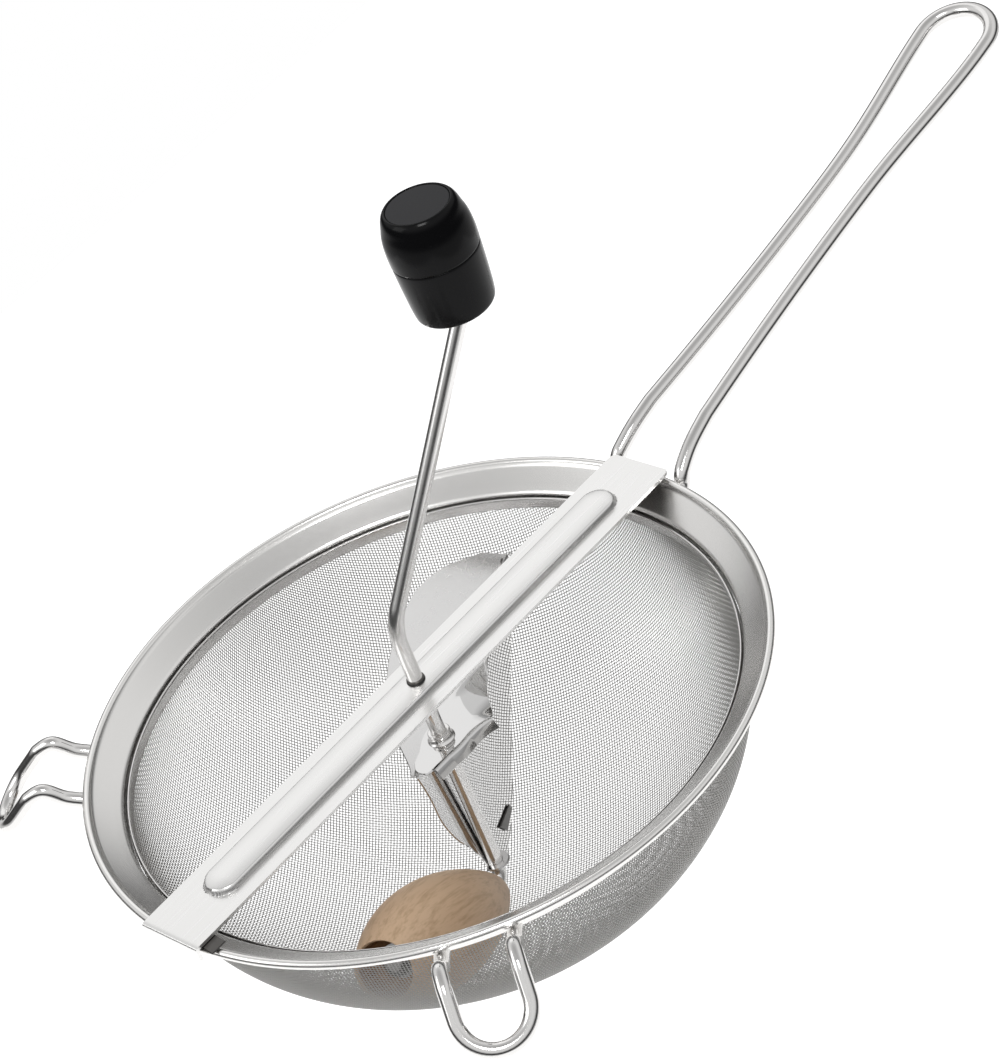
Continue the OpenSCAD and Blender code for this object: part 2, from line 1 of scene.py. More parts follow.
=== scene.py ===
"""Dressed model of a hand-cranked food mill.

A round wire mesh strainer with a long wire handle and two pot hooks carries a pressed
crossbar.  A bent crank rod runs through the bar and turns a sheet scraper and a beech
roller over the mesh.  Shapes are worked out in millimetres and written to Blender in
metres.  The origin is the centre of the rolled rim, +X points to the long handle, +Z up.
"""

from __future__ import annotations

import json
import logging
import math
from dataclasses import dataclass, field
from enum import Enum

import bpy
import numpy as np
from mathutils import Matrix

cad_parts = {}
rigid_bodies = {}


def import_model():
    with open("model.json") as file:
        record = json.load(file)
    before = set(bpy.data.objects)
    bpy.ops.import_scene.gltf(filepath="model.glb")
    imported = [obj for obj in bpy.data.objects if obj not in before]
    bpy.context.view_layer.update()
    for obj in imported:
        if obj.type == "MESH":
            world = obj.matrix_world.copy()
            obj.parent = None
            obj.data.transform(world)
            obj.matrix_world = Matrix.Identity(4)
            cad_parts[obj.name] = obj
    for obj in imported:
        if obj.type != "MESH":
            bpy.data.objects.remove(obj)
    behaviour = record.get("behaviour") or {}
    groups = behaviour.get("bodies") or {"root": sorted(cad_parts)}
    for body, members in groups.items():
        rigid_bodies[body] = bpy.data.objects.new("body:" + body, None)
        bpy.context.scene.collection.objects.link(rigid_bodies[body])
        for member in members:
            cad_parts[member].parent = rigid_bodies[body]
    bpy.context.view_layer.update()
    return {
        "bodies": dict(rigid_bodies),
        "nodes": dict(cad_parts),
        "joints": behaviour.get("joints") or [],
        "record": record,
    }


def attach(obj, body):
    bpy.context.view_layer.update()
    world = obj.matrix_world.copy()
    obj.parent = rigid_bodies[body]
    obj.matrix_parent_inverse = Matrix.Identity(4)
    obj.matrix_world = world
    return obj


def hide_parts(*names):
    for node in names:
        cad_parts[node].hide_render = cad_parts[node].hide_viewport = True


LOG = logging.getLogger("food_mill")
MM = 0.001
Array = np.ndarray

RIM_R = 120.0
BEAD = 1.5

# Inner face of the mesh, which the scraper's edge and the roller follow.
SHOULDER = -11.8
POWER = 1.9
INNER_R = 106.85
INNER_DEPTH = 80.3
ROLLER_GAP = 0.45
EDGE_GAP = 0.85


# ---------------------------------------------------------------- numbers and curves


class Body(str, Enum):
    """Moving bodies that a piece can ride on."""

    STRAINER = "strainer"
    INSERT = "mill_insert"
    ROTOR = "rotor"
    ROLLER = "roller_body"
    KNOB = "knob"


class Look(str, Enum):
    """Finishes of the pieces."""

    RIM = "rim"
    RING = "ring"
    MESH = "mesh"
    BAR = "bar"
    WIRE = "wire"
    ROD = "rod"
    BLADE = "blade"
    FLANGE = "flange"
    SPRING = "spring"
    BUSH = "bush"
    KNOB = "knob"
    DISC = "disc"
    BEECH = "beech"
    RECESS_SHADE = "recess"


class Slot(str, Enum):
    """Finishes named in the record."""

    RIM = "rim_steel"
    MESH = "mesh_wire"
    WIRE = "polished_wire"
    BAR = "bar_steel"
    SPRING = "spring_steel"
    BUSH = "bush_plastic"
    BLADE = "blade_steel"
    BEECH = "beech"
    KNOB = "knob_plastic"
    DISC = "disc_plastic"


def unit(v: Array) -> Array:
    """Vectors along the last axis, each divided by its length."""
    return v / np.maximum(np.linalg.norm(v, axis=-1, keepdims=True), 1e-12)


def mix(a: Array, b: Array, t: Array) -> Array:
    """Straight blend: a where t is 0, b where t is 1."""
    return a + (b - a) * t


def spline(points: Array, steps: int) -> Array:
    """Smooth curve through points.

    On each span between b and c, with neighbours a and d, the point at share t is half of
    2b + (c - a) t + (2a - 5b + 4c - d) t^2 + (3b - a - 3c + d) t^3.

    Args:
        points: Points to pass through, one to a row.
        steps: Steps on each span.

    Returns:
        The curve's points, one to a row.
    """
    p = np.asarray(points, float)
    a = np.vstack([p[:1], p[:-2]])[:, None]
    b, c = p[:-1][:, None], p[1:][:, None]
    d = np.vstack([p[2:], p[-1:]])[:, None]
    t = (np.arange(steps) / steps)[None, :, None]
    curve = 0.5 * (2 * b + (c - a) * t + (2 * a - 5 * b + 4 * c - d) * t**2
                   + (3 * b - a - 3 * c + d) * t**3)
    return np.vstack([curve.reshape(-1, p.shape[1]), p[-1:]])


def rounded(points: Array, radius: float | Array, steps: int = 6, closed: bool = True) -> Array:
    """Outline with its corners rounded.

    Each corner becomes a parabola between two points on its sides, at the given distance
    from the corner or at 45% of the shorter side if that is less.

    Args:
        points: Corners in order, one to a row.
        radius: Distance along the sides, one number or one for each corner.
        steps: Steps round each corner.
        closed: True if the last corner joins the first.

    Returns:
        The outline's points, one to a row.
    """
    p = np.asarray(points, float)
    before, after = np.roll(p, 1, axis=0), np.roll(p, -1, axis=0)
    to_before, to_after = before - p, after - p
    reach = np.minimum(np.linalg.norm(to_before, axis=1), np.linalg.norm(to_after, axis=1))
    cut = np.minimum(np.broadcast_to(radius, len(p)), 0.45 * reach)[:, None]
    start, end = p + unit(to_before) * cut, p + unit(to_after) * cut
    t = np.linspace(0, 1, steps + 1)[None, :, None]
    curve = ((1 - t) ** 2 * start[:, None] + 2 * t * (1 - t) * p[:, None] + t**2 * end[:, None])
    if closed:
        return curve.reshape(-1, p.shape[1])
    return np.vstack([p[:1], curve[1:-1].reshape(-1, p.shape[1]), p[-1:]])


def direction(turn: float, rise: float = 0.0) -> Array:
    """Unit vector at an angle from +X and a rise from the level, in degrees."""
    a, e = math.radians(turn), math.radians(rise)
    return np.array([math.cos(a) * math.cos(e), math.sin(a) * math.cos(e), math.sin(e)])


def turned(points: Array, degrees: float) -> Array:
    """Points turned about Z by an angle in degrees."""
    a = math.radians(degrees)
    c, s = math.cos(a), math.sin(a)
    return np.asarray(points) @ np.array([[c, s, 0], [-s, c, 0], [0, 0, 1]])


# ---------------------------------------------------------------- surfaces to meshes


@dataclass
class Surface:
    """Points and faces of one piece, in millimetres.

    Attributes:
        points: Points, one to a row.
        quads: Four point numbers to a face.
        triangles: Three point numbers to a face.
    """

    points: Array
    quads: Array
    triangles: Array = field(default_factory=lambda: np.zeros((0, 3), int))

    def moved(self, rotation: Array, origin: Array) -> "Surface":
        """The surface carried to a frame whose axes are the rotation's columns."""
        return Surface(self.points @ np.asarray(rotation).T + origin, self.quads, self.triangles)

    def outward(self) -> "Surface":
        """The surface with its faces outwards.

        The enclosed volume is a sixth of the sum of a . (b x c) over the triangles.  Where
        it is negative, every face is turned over.
        """
        q = self.quads
        corners = np.vstack([q[:, [0, 1, 2]], q[:, [0, 2, 3]], self.triangles])
        a, b, c = (self.points[corners[:, k]] for k in range(3))
        if np.sum(a * np.cross(b, c)) >= 0:
            return self
        return Surface(self.points, self.quads[:, ::-1], self.triangles[:, ::-1])


def grid_quads(rows: int, cols: int, wrap_rows: bool, wrap_cols: bool) -> Array:
    """Faces of a grid of points, joined end to end where asked."""
    i = np.arange(rows if wrap_rows else rows - 1)
    j = np.arange(cols if wrap_cols else cols - 1)
    i, j = np.meshgrid(i, j, indexing="ij")
    i2, j2 = (i + 1) % rows, (j + 1) % cols
    return np.stack([i * cols + j, i * cols + j2, i2 * cols + j2, i2 * cols + j], -1).reshape(-1, 4)


def lathe(profile: Array, segments: int, closed: bool = True) -> Surface:
    """Profile turned about Z.

    A profile point (r, z) at angle a becomes (r cos a, r sin a, z).

    Args:
        profile: Points (radius, height), one to a row.
        segments: Steps round the axis.
        closed: True for a ring; otherwise both ends lie on the axis and close there.

    Returns:
        The turned surface.
    """
    p = np.asarray(profile, float)
    a = np.linspace(0, 2 * np.pi, segments, endpoint=False)
    body = p if closed else p[1:-1]
    r, z = body[:, 0][:, None], body[:, 1][:, None]
    points = np.stack([r * np.cos(a), r * np.sin(a), z + 0 * a], -1).reshape(-1, 3)
    quads = grid_quads(len(body), segments, closed, True)
    if closed:
        return Surface(points, quads)
    n, k = len(points), np.arange(segments)
    nxt, last = (k + 1) % segments, (len(body) - 1) * segments
    points = np.vstack([points, [0, 0, p[0, 1]], [0, 0, p[-1, 1]]])
    caps = np.vstack([np.stack([nxt, k, 0 * k + n], -1),
                      np.stack([last + k, last + nxt, 0 * k + n + 1], -1)])
    return Surface(points, quads, caps)


def tube(path: Array, radius: float | Array, sides: int, side: Array,
         flat: float | Array = 1.0) -> Surface:
    """Round bar along a path.

    At each point the circle's plane is square to the path's direction.  Its first axis is
    the direction crossed with the side vector, its second the direction crossed with the
    first.  Both ends are closed by a fan.

    Args:
        path: Centreline points, one to a row.
        radius: Radius, one number or one for each point.
        sides: Points round the circle.
        side: A vector off the path's direction, one or one for each point.
        flat: Widening along the first axis, one number or one for each point.

    Returns:
        The closed tube.
    """
    p = np.asarray(path, float)
    t = unit(np.gradient(p, axis=0))
    u = unit(np.cross(t, np.broadcast_to(side, p.shape)))
    v = np.cross(t, u)
    r = np.broadcast_to(radius, len(p))[:, None, None]
    w = np.broadcast_to(flat, len(p))[:, None, None]
    a = np.linspace(0, 2 * np.pi, sides, endpoint=False)[None, :, None]
    points = (p[:, None] + r * (w * np.cos(a) * u[:, None] + np.sin(a) * v[:, None])).reshape(-1, 3)
    quads = grid_quads(len(p), sides, False, True)
    k = np.arange(sides)
    nxt, last, n = (k + 1) % sides, (len(p) - 1) * sides, len(points)
    points = np.vstack([points, p[:1], p[-1:]])
    caps = np.vstack([np.stack([nxt, k, 0 * k + n], -1),
                      np.stack([last + k, last + nxt, 0 * k + n + 1], -1)])
    return Surface(points, quads, caps)


def plate(middle: Array, thickness: float, edge_round: float = 0.35) -> Surface:
    """Sheet of even thickness round a middle surface.

    The faces lie half a thickness along the surface's normal on both sides.  Each margin is
    closed by a narrow band whose middle stands out by a share of the thickness.

    Args:
        middle: Grid of points, rows by columns.
        thickness: Thickness of the sheet.
        edge_round: Share of the thickness by which the margins bulge.

    Returns:
        The closed sheet.
    """
    g = np.asarray(middle, float)
    rows, cols = g.shape[:2]
    n = unit(np.cross(np.gradient(g, axis=0), np.gradient(g, axis=1)))
    ids = np.arange(rows * cols).reshape(rows, cols)
    rim = np.concatenate([ids[0, :-1], ids[:-1, -1], ids[-1, :0:-1], ids[:0:-1, 0]])
    centre = g.mean(axis=(0, 1))
    flat = g.reshape(-1, 3)
    along = np.roll(flat[rim], -1, axis=0) - np.roll(flat[rim], 1, axis=0)
    out = unit(np.cross(along, n.reshape(-1, 3)[rim]))
    out *= np.sign(np.sum(out * (flat[rim] - centre), axis=1).sum())
    half = thickness / 2
    top, low = flat + n.reshape(-1, 3) * half, flat - n.reshape(-1, 3) * half
    bulge = flat[rim] + out * thickness * edge_round
    m = rows * cols
    face = grid_quads(rows, cols, False, False)
    after = np.roll(rim, -1)
    k = 2 * m + np.arange(len(rim))
    nxt = np.roll(k, -1)
    side = np.vstack([np.stack([after, nxt, k, rim], -1),
                      np.stack([nxt, m + after, m + rim, k], -1)])
    return Surface(np.vstack([top, low, bulge]), np.vstack([face[:, ::-1], m + face, side]))


# ---------------------------------------------------------------- finishes


def shader(material: bpy.types.Material) -> bpy.types.Node:
    """The material's main shader node."""
    return material.node_tree.nodes["Principled BSDF"]


@dataclass(frozen=True)
class Finish:
    """Base of all finishes: a named node material read in Object coordinates.

    Attributes:
        name: Material name.
        color: Base colour, linear.
        metallic: 1 for metal, 0 for wood and plastic.
        roughness: Middle roughness.
        spread: Half the range that the surface noise adds to the roughness.
        grain: Size of the surface noise, in waves to a metre.
        stretch: Factors on the noise's coordinates; a small one draws it out.
        bump: Height of the noise in the surface, in metres.
        specular: Strength of the gloss on wood and plastic, 0.5 for the usual.
    """

    name: str
    color: tuple[float, float, float]
    metallic: float = 1.0
    roughness: float = 0.2
    spread: float = 0.05
    grain: float = 400.0
    stretch: tuple[float, float, float] = (1.0, 1.0, 1.0)
    bump: float = 0.0
    specular: float = 0.5

    def build(self) -> bpy.types.Material:
        """Makes the material.

        Returns:
            The material, with noise on its roughness and, where bump is set, in its surface.
        """
        material = bpy.data.materials.new(self.name)
        material.use_nodes = True
        tree, main = material.node_tree, shader(material)
        main.inputs["Base Color"].default_value = (*self.color, 1)
        main.inputs["Metallic"].default_value = self.metallic
        main.inputs["Specular IOR Level"].default_value = self.specular
        main.inputs["Roughness"].default_value = self.roughness
        noise = self.noise(tree, self.grain, self.stretch)
        span = tree.nodes.new("ShaderNodeMapRange")
        span.inputs["To Min"].default_value = max(self.roughness - self.spread, 0.02)
        span.inputs["To Max"].default_value = self.roughness + self.spread
        tree.links.new(noise.outputs["Fac"], span.inputs["Value"])
        tree.links.new(span.outputs["Result"], main.inputs["Roughness"])
        if self.bump:
            bump = tree.nodes.new("ShaderNodeBump")
            bump.inputs["Distance"].default_value = self.bump
            bump.inputs["Strength"].default_value = 1.0
            tree.links.new(noise.outputs["Fac"], bump.inputs["Height"])
            tree.links.new(bump.outputs["Normal"], main.inputs["Normal"])
        self.dress(tree, main)
        return material

    def noise(self, tree: bpy.types.NodeTree, scale: float,
              stretch: tuple[float, float, float]) -> bpy.types.Node:
        """Noise on Object coordinates.

        Args:
            tree: Node tree to add to.
            scale: Waves to a metre.
            stretch: Factors on the coordinates.

        Returns:
            The noise node.
        """
        place = tree.nodes.new("ShaderNodeTexCoord")
        mapping = tree.nodes.new("ShaderNodeMapping")
        mapping.inputs["Scale"].default_value = stretch
        noise = tree.nodes.new("ShaderNodeTexNoise")
        noise.inputs["Scale"].default_value = scale
        noise.inputs["Detail"].default_value = 3
        tree.links.new(place.outputs["Object"], mapping.inputs["Vector"])
        tree.links.new(mapping.outputs["Vector"], noise.inputs["Vector"])
        return noise

    def dress(self, tree: bpy.types.NodeTree, main: bpy.types.Node) -> None:
        """Adds what is special to a finish; the base adds nothing."""


@dataclass(frozen=True)
class Beech(Finish):
    """Bare turned beech with its fibres along an axle.

    Attributes:
        turn: Angles that bring the axle onto Z, in radians.
        dark: Colour of the dark fibres, linear.
    """

    turn: tuple[float, float, float] = (0.0, 0.0, 0.0)
    dark: tuple[float, float, float] = (0.3, 0.2, 0.1)

    def dress(self, tree: bpy.types.NodeTree, main: bpy.types.Node) -> None:
        """Long fibres and short flecks, both drawn out along the axle."""
        place = tree.nodes.new("ShaderNodeTexCoord")
        turn = tree.nodes.new("ShaderNodeMapping")
        turn.inputs["Rotation"].default_value = self.turn
        tree.links.new(place.outputs["Object"], turn.inputs["Vector"])
        heights = []
        for scale, draw, detail in ((520.0, 0.06, 4.0), (1500.0, 0.09, 2.0), (60.0, 0.35, 2.0)):
            squeeze = tree.nodes.new("ShaderNodeMapping")
            squeeze.inputs["Scale"].default_value = (1, 1, draw)
            noise = tree.nodes.new("ShaderNodeTexNoise")
            noise.inputs["Scale"].default_value = scale
            noise.inputs["Detail"].default_value = detail
            tree.links.new(turn.outputs["Vector"], squeeze.inputs["Vector"])
            tree.links.new(squeeze.outputs["Vector"], noise.inputs["Vector"])
            heights.append(noise)
        total = tree.nodes.new("ShaderNodeMath")
        total.operation = "MULTIPLY_ADD"
        total.inputs[1].default_value = 0.6
        tree.links.new(heights[1].outputs["Fac"], total.inputs[0])
        tree.links.new(heights[0].outputs["Fac"], total.inputs[2])
        ramp = tree.nodes.new("ShaderNodeValToRGB")
        ramp.color_ramp.elements[0].position = 0.58
        ramp.color_ramp.elements[0].color = (*self.dark, 1)
        ramp.color_ramp.elements[1].position = 0.86
        ramp.color_ramp.elements[1].color = (*self.color, 1)
        tree.links.new(total.outputs["Value"], ramp.inputs["Fac"])
        blotch = tree.nodes.new("ShaderNodeMixRGB")
        blotch.blend_type = "MULTIPLY"
        blotch.inputs["Fac"].default_value = 0.3
        tone = tree.nodes.new("ShaderNodeValToRGB")
        tone.color_ramp.elements[0].position = 0.35
        tone.color_ramp.elements[0].color = (0.72, 0.62, 0.52, 1)
        tone.color_ramp.elements[1].position = 0.65
        tone.color_ramp.elements[1].color = (1, 1, 1, 1)
        tree.links.new(heights[2].outputs["Fac"], tone.inputs["Fac"])
        tree.links.new(ramp.outputs["Color"], blotch.inputs["Color1"])
        tree.links.new(tone.outputs["Color"], blotch.inputs["Color2"])
        tree.links.new(blotch.outputs["Color"], main.inputs["Base Color"])


@dataclass
class Shop:
    """The finishes, each made once.

    Attributes:
        roller_turn: Angles that bring the roller's axle onto Z, in radians.
    """

    roller_turn: tuple[float, float, float]
    made: dict[Look, bpy.types.Material] = field(default_factory=dict)

    def table(self) -> dict[Look, Finish]:
        """Every finish by its look."""
        return {
            Look.RIM: Finish("rim satin steel", (0.80, 0.79, 0.775), roughness=0.24, spread=0.03,
                             grain=500, bump=4e-7),
            Look.RING: Finish("inner ring steel", (0.66, 0.65, 0.64), roughness=0.24, grain=700),
            Look.MESH: Finish("mesh wire", (0.40, 0.395, 0.385), roughness=0.32, grain=900),
            Look.BAR: Finish("bar satin steel", (0.80, 0.795, 0.785), roughness=0.28, spread=0.03,
                             grain=700, stretch=(0.06, 1, 1), bump=6e-7),
            Look.WIRE: Finish("polished wire", (0.74, 0.73, 0.72), roughness=0.14, spread=0.04,
                              grain=300),
            Look.ROD: Finish("polished rod", (0.76, 0.75, 0.74), roughness=0.2, spread=0.04,
                             grain=300, stretch=(1, 1, 0.2)),
            Look.BLADE: Finish("polished blade", (0.66, 0.655, 0.65), roughness=0.05, spread=0.02,
                               grain=200),
            Look.FLANGE: Finish("satin flange", (0.66, 0.655, 0.65), roughness=0.27, spread=0.02,
                                grain=200),
            Look.SPRING: Finish("dark spring steel", (0.12, 0.115, 0.11), roughness=0.35,
                                spread=0.08, grain=600),
            Look.BUSH: Finish("black nylon", (0.02, 0.02, 0.02), metallic=0, roughness=0.45,
                              spread=0.06, grain=1500, bump=4e-6),
            Look.KNOB: Finish("gloss black knob", (0.004, 0.004, 0.0045), metallic=0,
                              roughness=0.17, spread=0.03, grain=900, bump=1.5e-6, specular=0.11),
            Look.DISC: Finish("matt knob disc", (0.028, 0.028, 0.030), metallic=0, roughness=0.55,
                              grain=2600, bump=8e-6, specular=0.15),
            Look.BEECH: Beech("bare beech", (0.63, 0.445, 0.29), metallic=0, roughness=0.5,
                              spread=0.06, grain=1500, bump=6e-6,
                              turn=self.roller_turn, dark=(0.49, 0.33, 0.20)),
            # Painted shade: a darker copy of the beech for the recess wall, where shade falls.
            Look.RECESS_SHADE: Beech("beech end grain in shade", (0.30, 0.155, 0.06), metallic=0,
                               roughness=0.6, spread=0.06, grain=1500, bump=8e-6,
                               turn=self.roller_turn, dark=(0.17, 0.08, 0.028)),
        }

    def get(self, look: Look) -> bpy.types.Material:
        """The finish of a look, made at its first use."""
        if look not in self.made:
            self.made[look] = self.table()[look].build()
        return self.made[look]


# ---------------------------------------------------------------- pieces


@dataclass
class SubAssembly:
    """Base of the sub-assemblies: it puts surfaces into Blender and dresses them.

    Attributes:
        shop: Where finishes come from.
    """

    shop: Shop

    def put(self, name: str, surface: Surface, look: Look, body: Body, slot: Slot,
            replaces: tuple[str, ...] = (), sharp: float = 35.0) -> bpy.types.Object:
        """Makes a piece.

        Args:
            name: Piece name.
            surface: Shape, in millimetres.
            look: Its finish.
            body: Body that it rides on.
            slot: Record's finish that it takes; not used.
            replaces: Solids that it stands for.
            sharp: Angle from which an edge shows as sharp, in degrees.

        Returns:
            The piece.
        """
        mesh = bpy.data.meshes.new(name)
        surface = surface.outward()
        points = np.asarray(surface.points * MM, np.float32)
        loops = np.concatenate([surface.quads.ravel(), surface.triangles.ravel()]).astype(np.int32)
        sizes = np.concatenate([np.full(len(surface.quads), 4), np.full(len(surface.triangles), 3)])
        mesh.vertices.add(len(points))
        mesh.vertices.foreach_set("co", points.ravel())
        mesh.loops.add(len(loops))
        mesh.loops.foreach_set("vertex_index", loops)
        mesh.polygons.add(len(sizes))
        mesh.polygons.foreach_set("loop_start", (np.cumsum(sizes) - sizes).astype(np.int32))
        mesh.polygons.foreach_set("use_smooth", np.ones(len(sizes), bool))
        mesh.update(calc_edges=True)
        mesh.validate()
        if sharp < 180:
            mesh.set_sharp_from_angle(angle=math.radians(sharp))
        mesh.materials.append(self.shop.get(look))
        piece = bpy.data.objects.new(name, mesh)
        bpy.context.scene.collection.objects.link(piece)
        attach(piece, body.value)
        if replaces:
            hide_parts(*replaces)
        LOG.info("%s: %d faces, %s, on %s", name, len(sizes), look.value, body.value)
        return piece

    def carry(self, frame: dict, node: str, look: Look) -> None:
        """Dresses a solid that stays as it is.

        Args:
            node: Name of the solid.
            look: Its finish.
        """
        for place in frame["nodes"][node].material_slots:
            place.material = self.shop.get(look)
        LOG.info("%s: solid kept, %s", node, look.value)


@dataclass
class Strainer(SubAssembly):
    """Rolled rim, clamp ring, woven bowl, long handle and pot hooks.

    Attributes:
        bead_ring: Radius of the bead's centre circle.
        bead: Radius of the bead.
        neck_in: Inner radius of the upright neck.
        shoulder: Height at which the bowl's curve starts.
        depth: Depth of the bowl below the shoulder, at the middle of the cloth.
        power: Roundness of the bowl, 2 for an ellipse.
        cloth_r: Radius of the middle of the cloth at the shoulder.
        cloth_top: Height at which the wires end, behind the clamp ring.
        pitch: Distance between wires.
        wire_r: Radius of a mesh wire.
        weave_turn: Angle of the cloth's wires to +X, in degrees.
        round_steps: Steps round the rim and the clamp ring.
    """

    bead_ring: float = RIM_R - BEAD
    bead: float = BEAD
    neck_in: float = 107.8
    shoulder: float = SHOULDER
    depth: float = 80.75
    power: float = POWER
    cloth_r: float = 107.3
    cloth_top: float = -8.2
    pitch: float = 1.08
    wire_r: float = 0.155
    weave_turn: float = 38.0
    round_steps: int = 384

    def build(self) -> None:
        """Makes every piece of the strainer."""
        self.rim()
        self.clamp_ring()
        self.bowl()
        self.handle()
        self.hooks()

    def rim(self) -> None:
        """Sheet rim: neck, rounded corner, sloping band and a bead rolled at its outside."""
        angle = np.radians(np.linspace(158, -122, 40))
        bead = np.stack([self.bead_ring + self.bead * np.cos(angle), self.bead * np.sin(angle)], -1)
        neck = self.neck_in
        upper = rounded([[neck, -12.0], [neck, -6.35], [108.5, -5.5], [112.8, -2.75],
                         [116.4, -0.35], [117.1, 0.56]], [0, 0.7, 0.9, 2.0, 0.8, 0], 6, False)
        under = rounded([[117.7, -1.27], [117.0, -1.0], [108.9, -6.3], [108.6, -6.9],
                         [108.6, -12.0]], [0, 0.4, 0.6, 0.4, 0], 5, False)
        profile = np.vstack([upper[:-1], bead, under[1:]])
        self.put("rim", lathe(profile, self.round_steps), Look.RIM, Body.STRAINER, Slot.RIM,
                 ("rim_band",), 40)

    def clamp_ring(self) -> None:
        """Ring that holds the mesh inside the neck, with a rounded upper edge."""
        profile = rounded([[106.78, -6.95], [106.3, -7.0], [106.1, -7.5], [106.1, -10.9],
                           [106.2, -11.2], [106.78, -11.6]], [0.1, 0.25, 0.3, 0.3, 0.2, 0.1], 4)
        self.put("clamp_ring", lathe(profile, self.round_steps), Look.RING, Body.STRAINER, Slot.RIM,
                 ("mesh_clamp_ring",))

    def on_bowl(self, p: Array) -> Array:
        """Points brought onto the cloth's middle surface.

        Below the shoulder, a point at radius r and depth d is drawn towards the shoulder's
        centre until (r / cloth_r)^power + (d / depth)^power is 1.  Above it, the radius is
        set to cloth_r.
        """
        r = np.maximum(np.hypot(p[..., 0], p[..., 1]), 1e-9)
        d = np.maximum(self.shoulder - p[..., 2], 0)
        level = (r / self.cloth_r) ** self.power + (d / self.depth) ** self.power
        k = level ** (-1 / self.power)
        above = p[..., 2] > self.shoulder
        side = np.where(above, self.cloth_r / r, k)
        z = np.where(above, p[..., 2], self.shoulder - d * k)
        return np.stack([p[..., 0] * side, p[..., 1] * side, z], -1)

    def bowl_normal(self, p: Array) -> Array:
        """Outward normal of the cloth's surface: the slope of on_bowl's level."""
        r = np.maximum(np.hypot(p[..., 0], p[..., 1]), 1e-9)
        d = np.maximum(self.shoulder - p[..., 2], 0)
        across = (r / self.cloth_r) ** (self.power - 1) / self.cloth_r
        down = (d / self.depth) ** (self.power - 1) / self.depth
        return unit(np.stack([across * p[..., 0] / r, across * p[..., 1] / r, -down], -1))

    def cloth(self) -> Array:
        """Crossings of the wires over the whole bowl.

        Two meridians at right angles carry crossings at even steps of arc.  Every other
        crossing lies one pitch from both of its inner neighbours, as in cloth pressed over
        a form, where the wires keep their spacing and the squares shear.  One quarter is
        worked out, an oblique row at a time, and turned to the other three.

        Returns:
            Points on a square grid, 2n - 1 each way, in millimetres.
        """
        a = np.radians(np.linspace(90, 0, 4000))
        r = self.cloth_r * np.cos(a) ** (2 / self.power)
        z = self.shoulder - self.depth * np.sin(a) ** (2 / self.power)
        r, z = np.append(r, r[-1]), np.append(z, z[-1] + 60)
        arc = np.concatenate([[0], np.cumsum(np.hypot(np.diff(r), np.diff(z)))])
        bowl_arc = arc[-2] + self.cloth_top - self.shoulder
        n = int(bowl_arc / self.pitch) + 4
        at = np.arange(n) * self.pitch
        axis_r, axis_z = np.interp(at, arc, r), np.interp(at, arc, z)
        quarter = np.zeros((n, n, 3))
        quarter[:, 0] = np.stack([axis_r, 0 * at, axis_z], -1)
        quarter[0, :] = np.stack([0 * at, axis_r, axis_z], -1)
        for row in range(2, 2 * n - 1):
            i = np.arange(max(1, row - n + 1), min(n - 1, row - 1) + 1)
            j = row - i
            one, two, inner = quarter[i - 1, j], quarter[i, j - 1], quarter[i - 1, j - 1]
            node = self.on_bowl(one + two - inner)
            for _ in range(10):
                node = self.on_bowl(0.5 * (one + two + self.pitch * (unit(node - one)
                                                                      + unit(node - two))))
            quarter[i, j] = node
        m = n - 1
        whole = np.zeros((2 * n - 1, 2 * n - 1, 3))
        for turn in range(4):
            part = turned(quarter, 90 * turn)
            i, j = np.meshgrid(np.arange(n), np.arange(n), indexing="ij")
            for _ in range(turn):
                i, j = -j, i
            whole[m + i, m + j] = part
        return turned(whole, self.weave_turn)

    def wires(self, nodes: Array, side: int) -> tuple[Array, Array]:
        """Wires along the first index of the crossings.

        At each crossing the wire lies just under its own radius above or below the cloth,
        by turns, and has a four-sided section.

        Args:
            nodes: Crossings, wires by columns.
            side: 1 or -1, the side on which the first wire starts.

        Returns:
            Ring points (along, wires, 4, 3), and for each ring whether it is kept.
        """
        normal = self.bowl_normal(nodes)
        i, j = np.meshgrid(np.arange(nodes.shape[0]), np.arange(nodes.shape[1]), indexing="ij")
        lift = np.where((i + j) % 2 == 0, 1.0, -1.0) * side * self.wire_r * 0.95
        centre = nodes + normal * lift[..., None]
        along = unit(np.gradient(centre, axis=0))
        across = unit(np.cross(along, normal))
        up = np.cross(across, along)
        ring = np.stack([centre + self.wire_r * v for v in (across, up, -across, -up)], 2)
        return ring, nodes[..., 2] < self.cloth_top

    def bowl(self) -> None:
        """Woven bowl: two sets of wires that pass over and under each other."""
        nodes = self.cloth()
        for name, grid, side in (("warp", nodes, 1), ("weft", nodes.transpose(1, 0, 2), -1)):
            ring, kept = self.wires(grid, side)
            load = np.cumsum(kept.sum(axis=0))
            cuts = np.searchsorted(load, load[-1] * np.arange(1, 4) / 4)
            for part, cols in enumerate(np.split(np.arange(grid.shape[1]), cuts)):
                surface = self.wire_surface(ring[:, cols], kept[:, cols])
                self.put(f"mesh_{name}_{part + 1}", surface, Look.MESH, Body.STRAINER, Slot.MESH,
                         ("mesh_bowl",) if part == 0 and name == "warp" else (), 180)

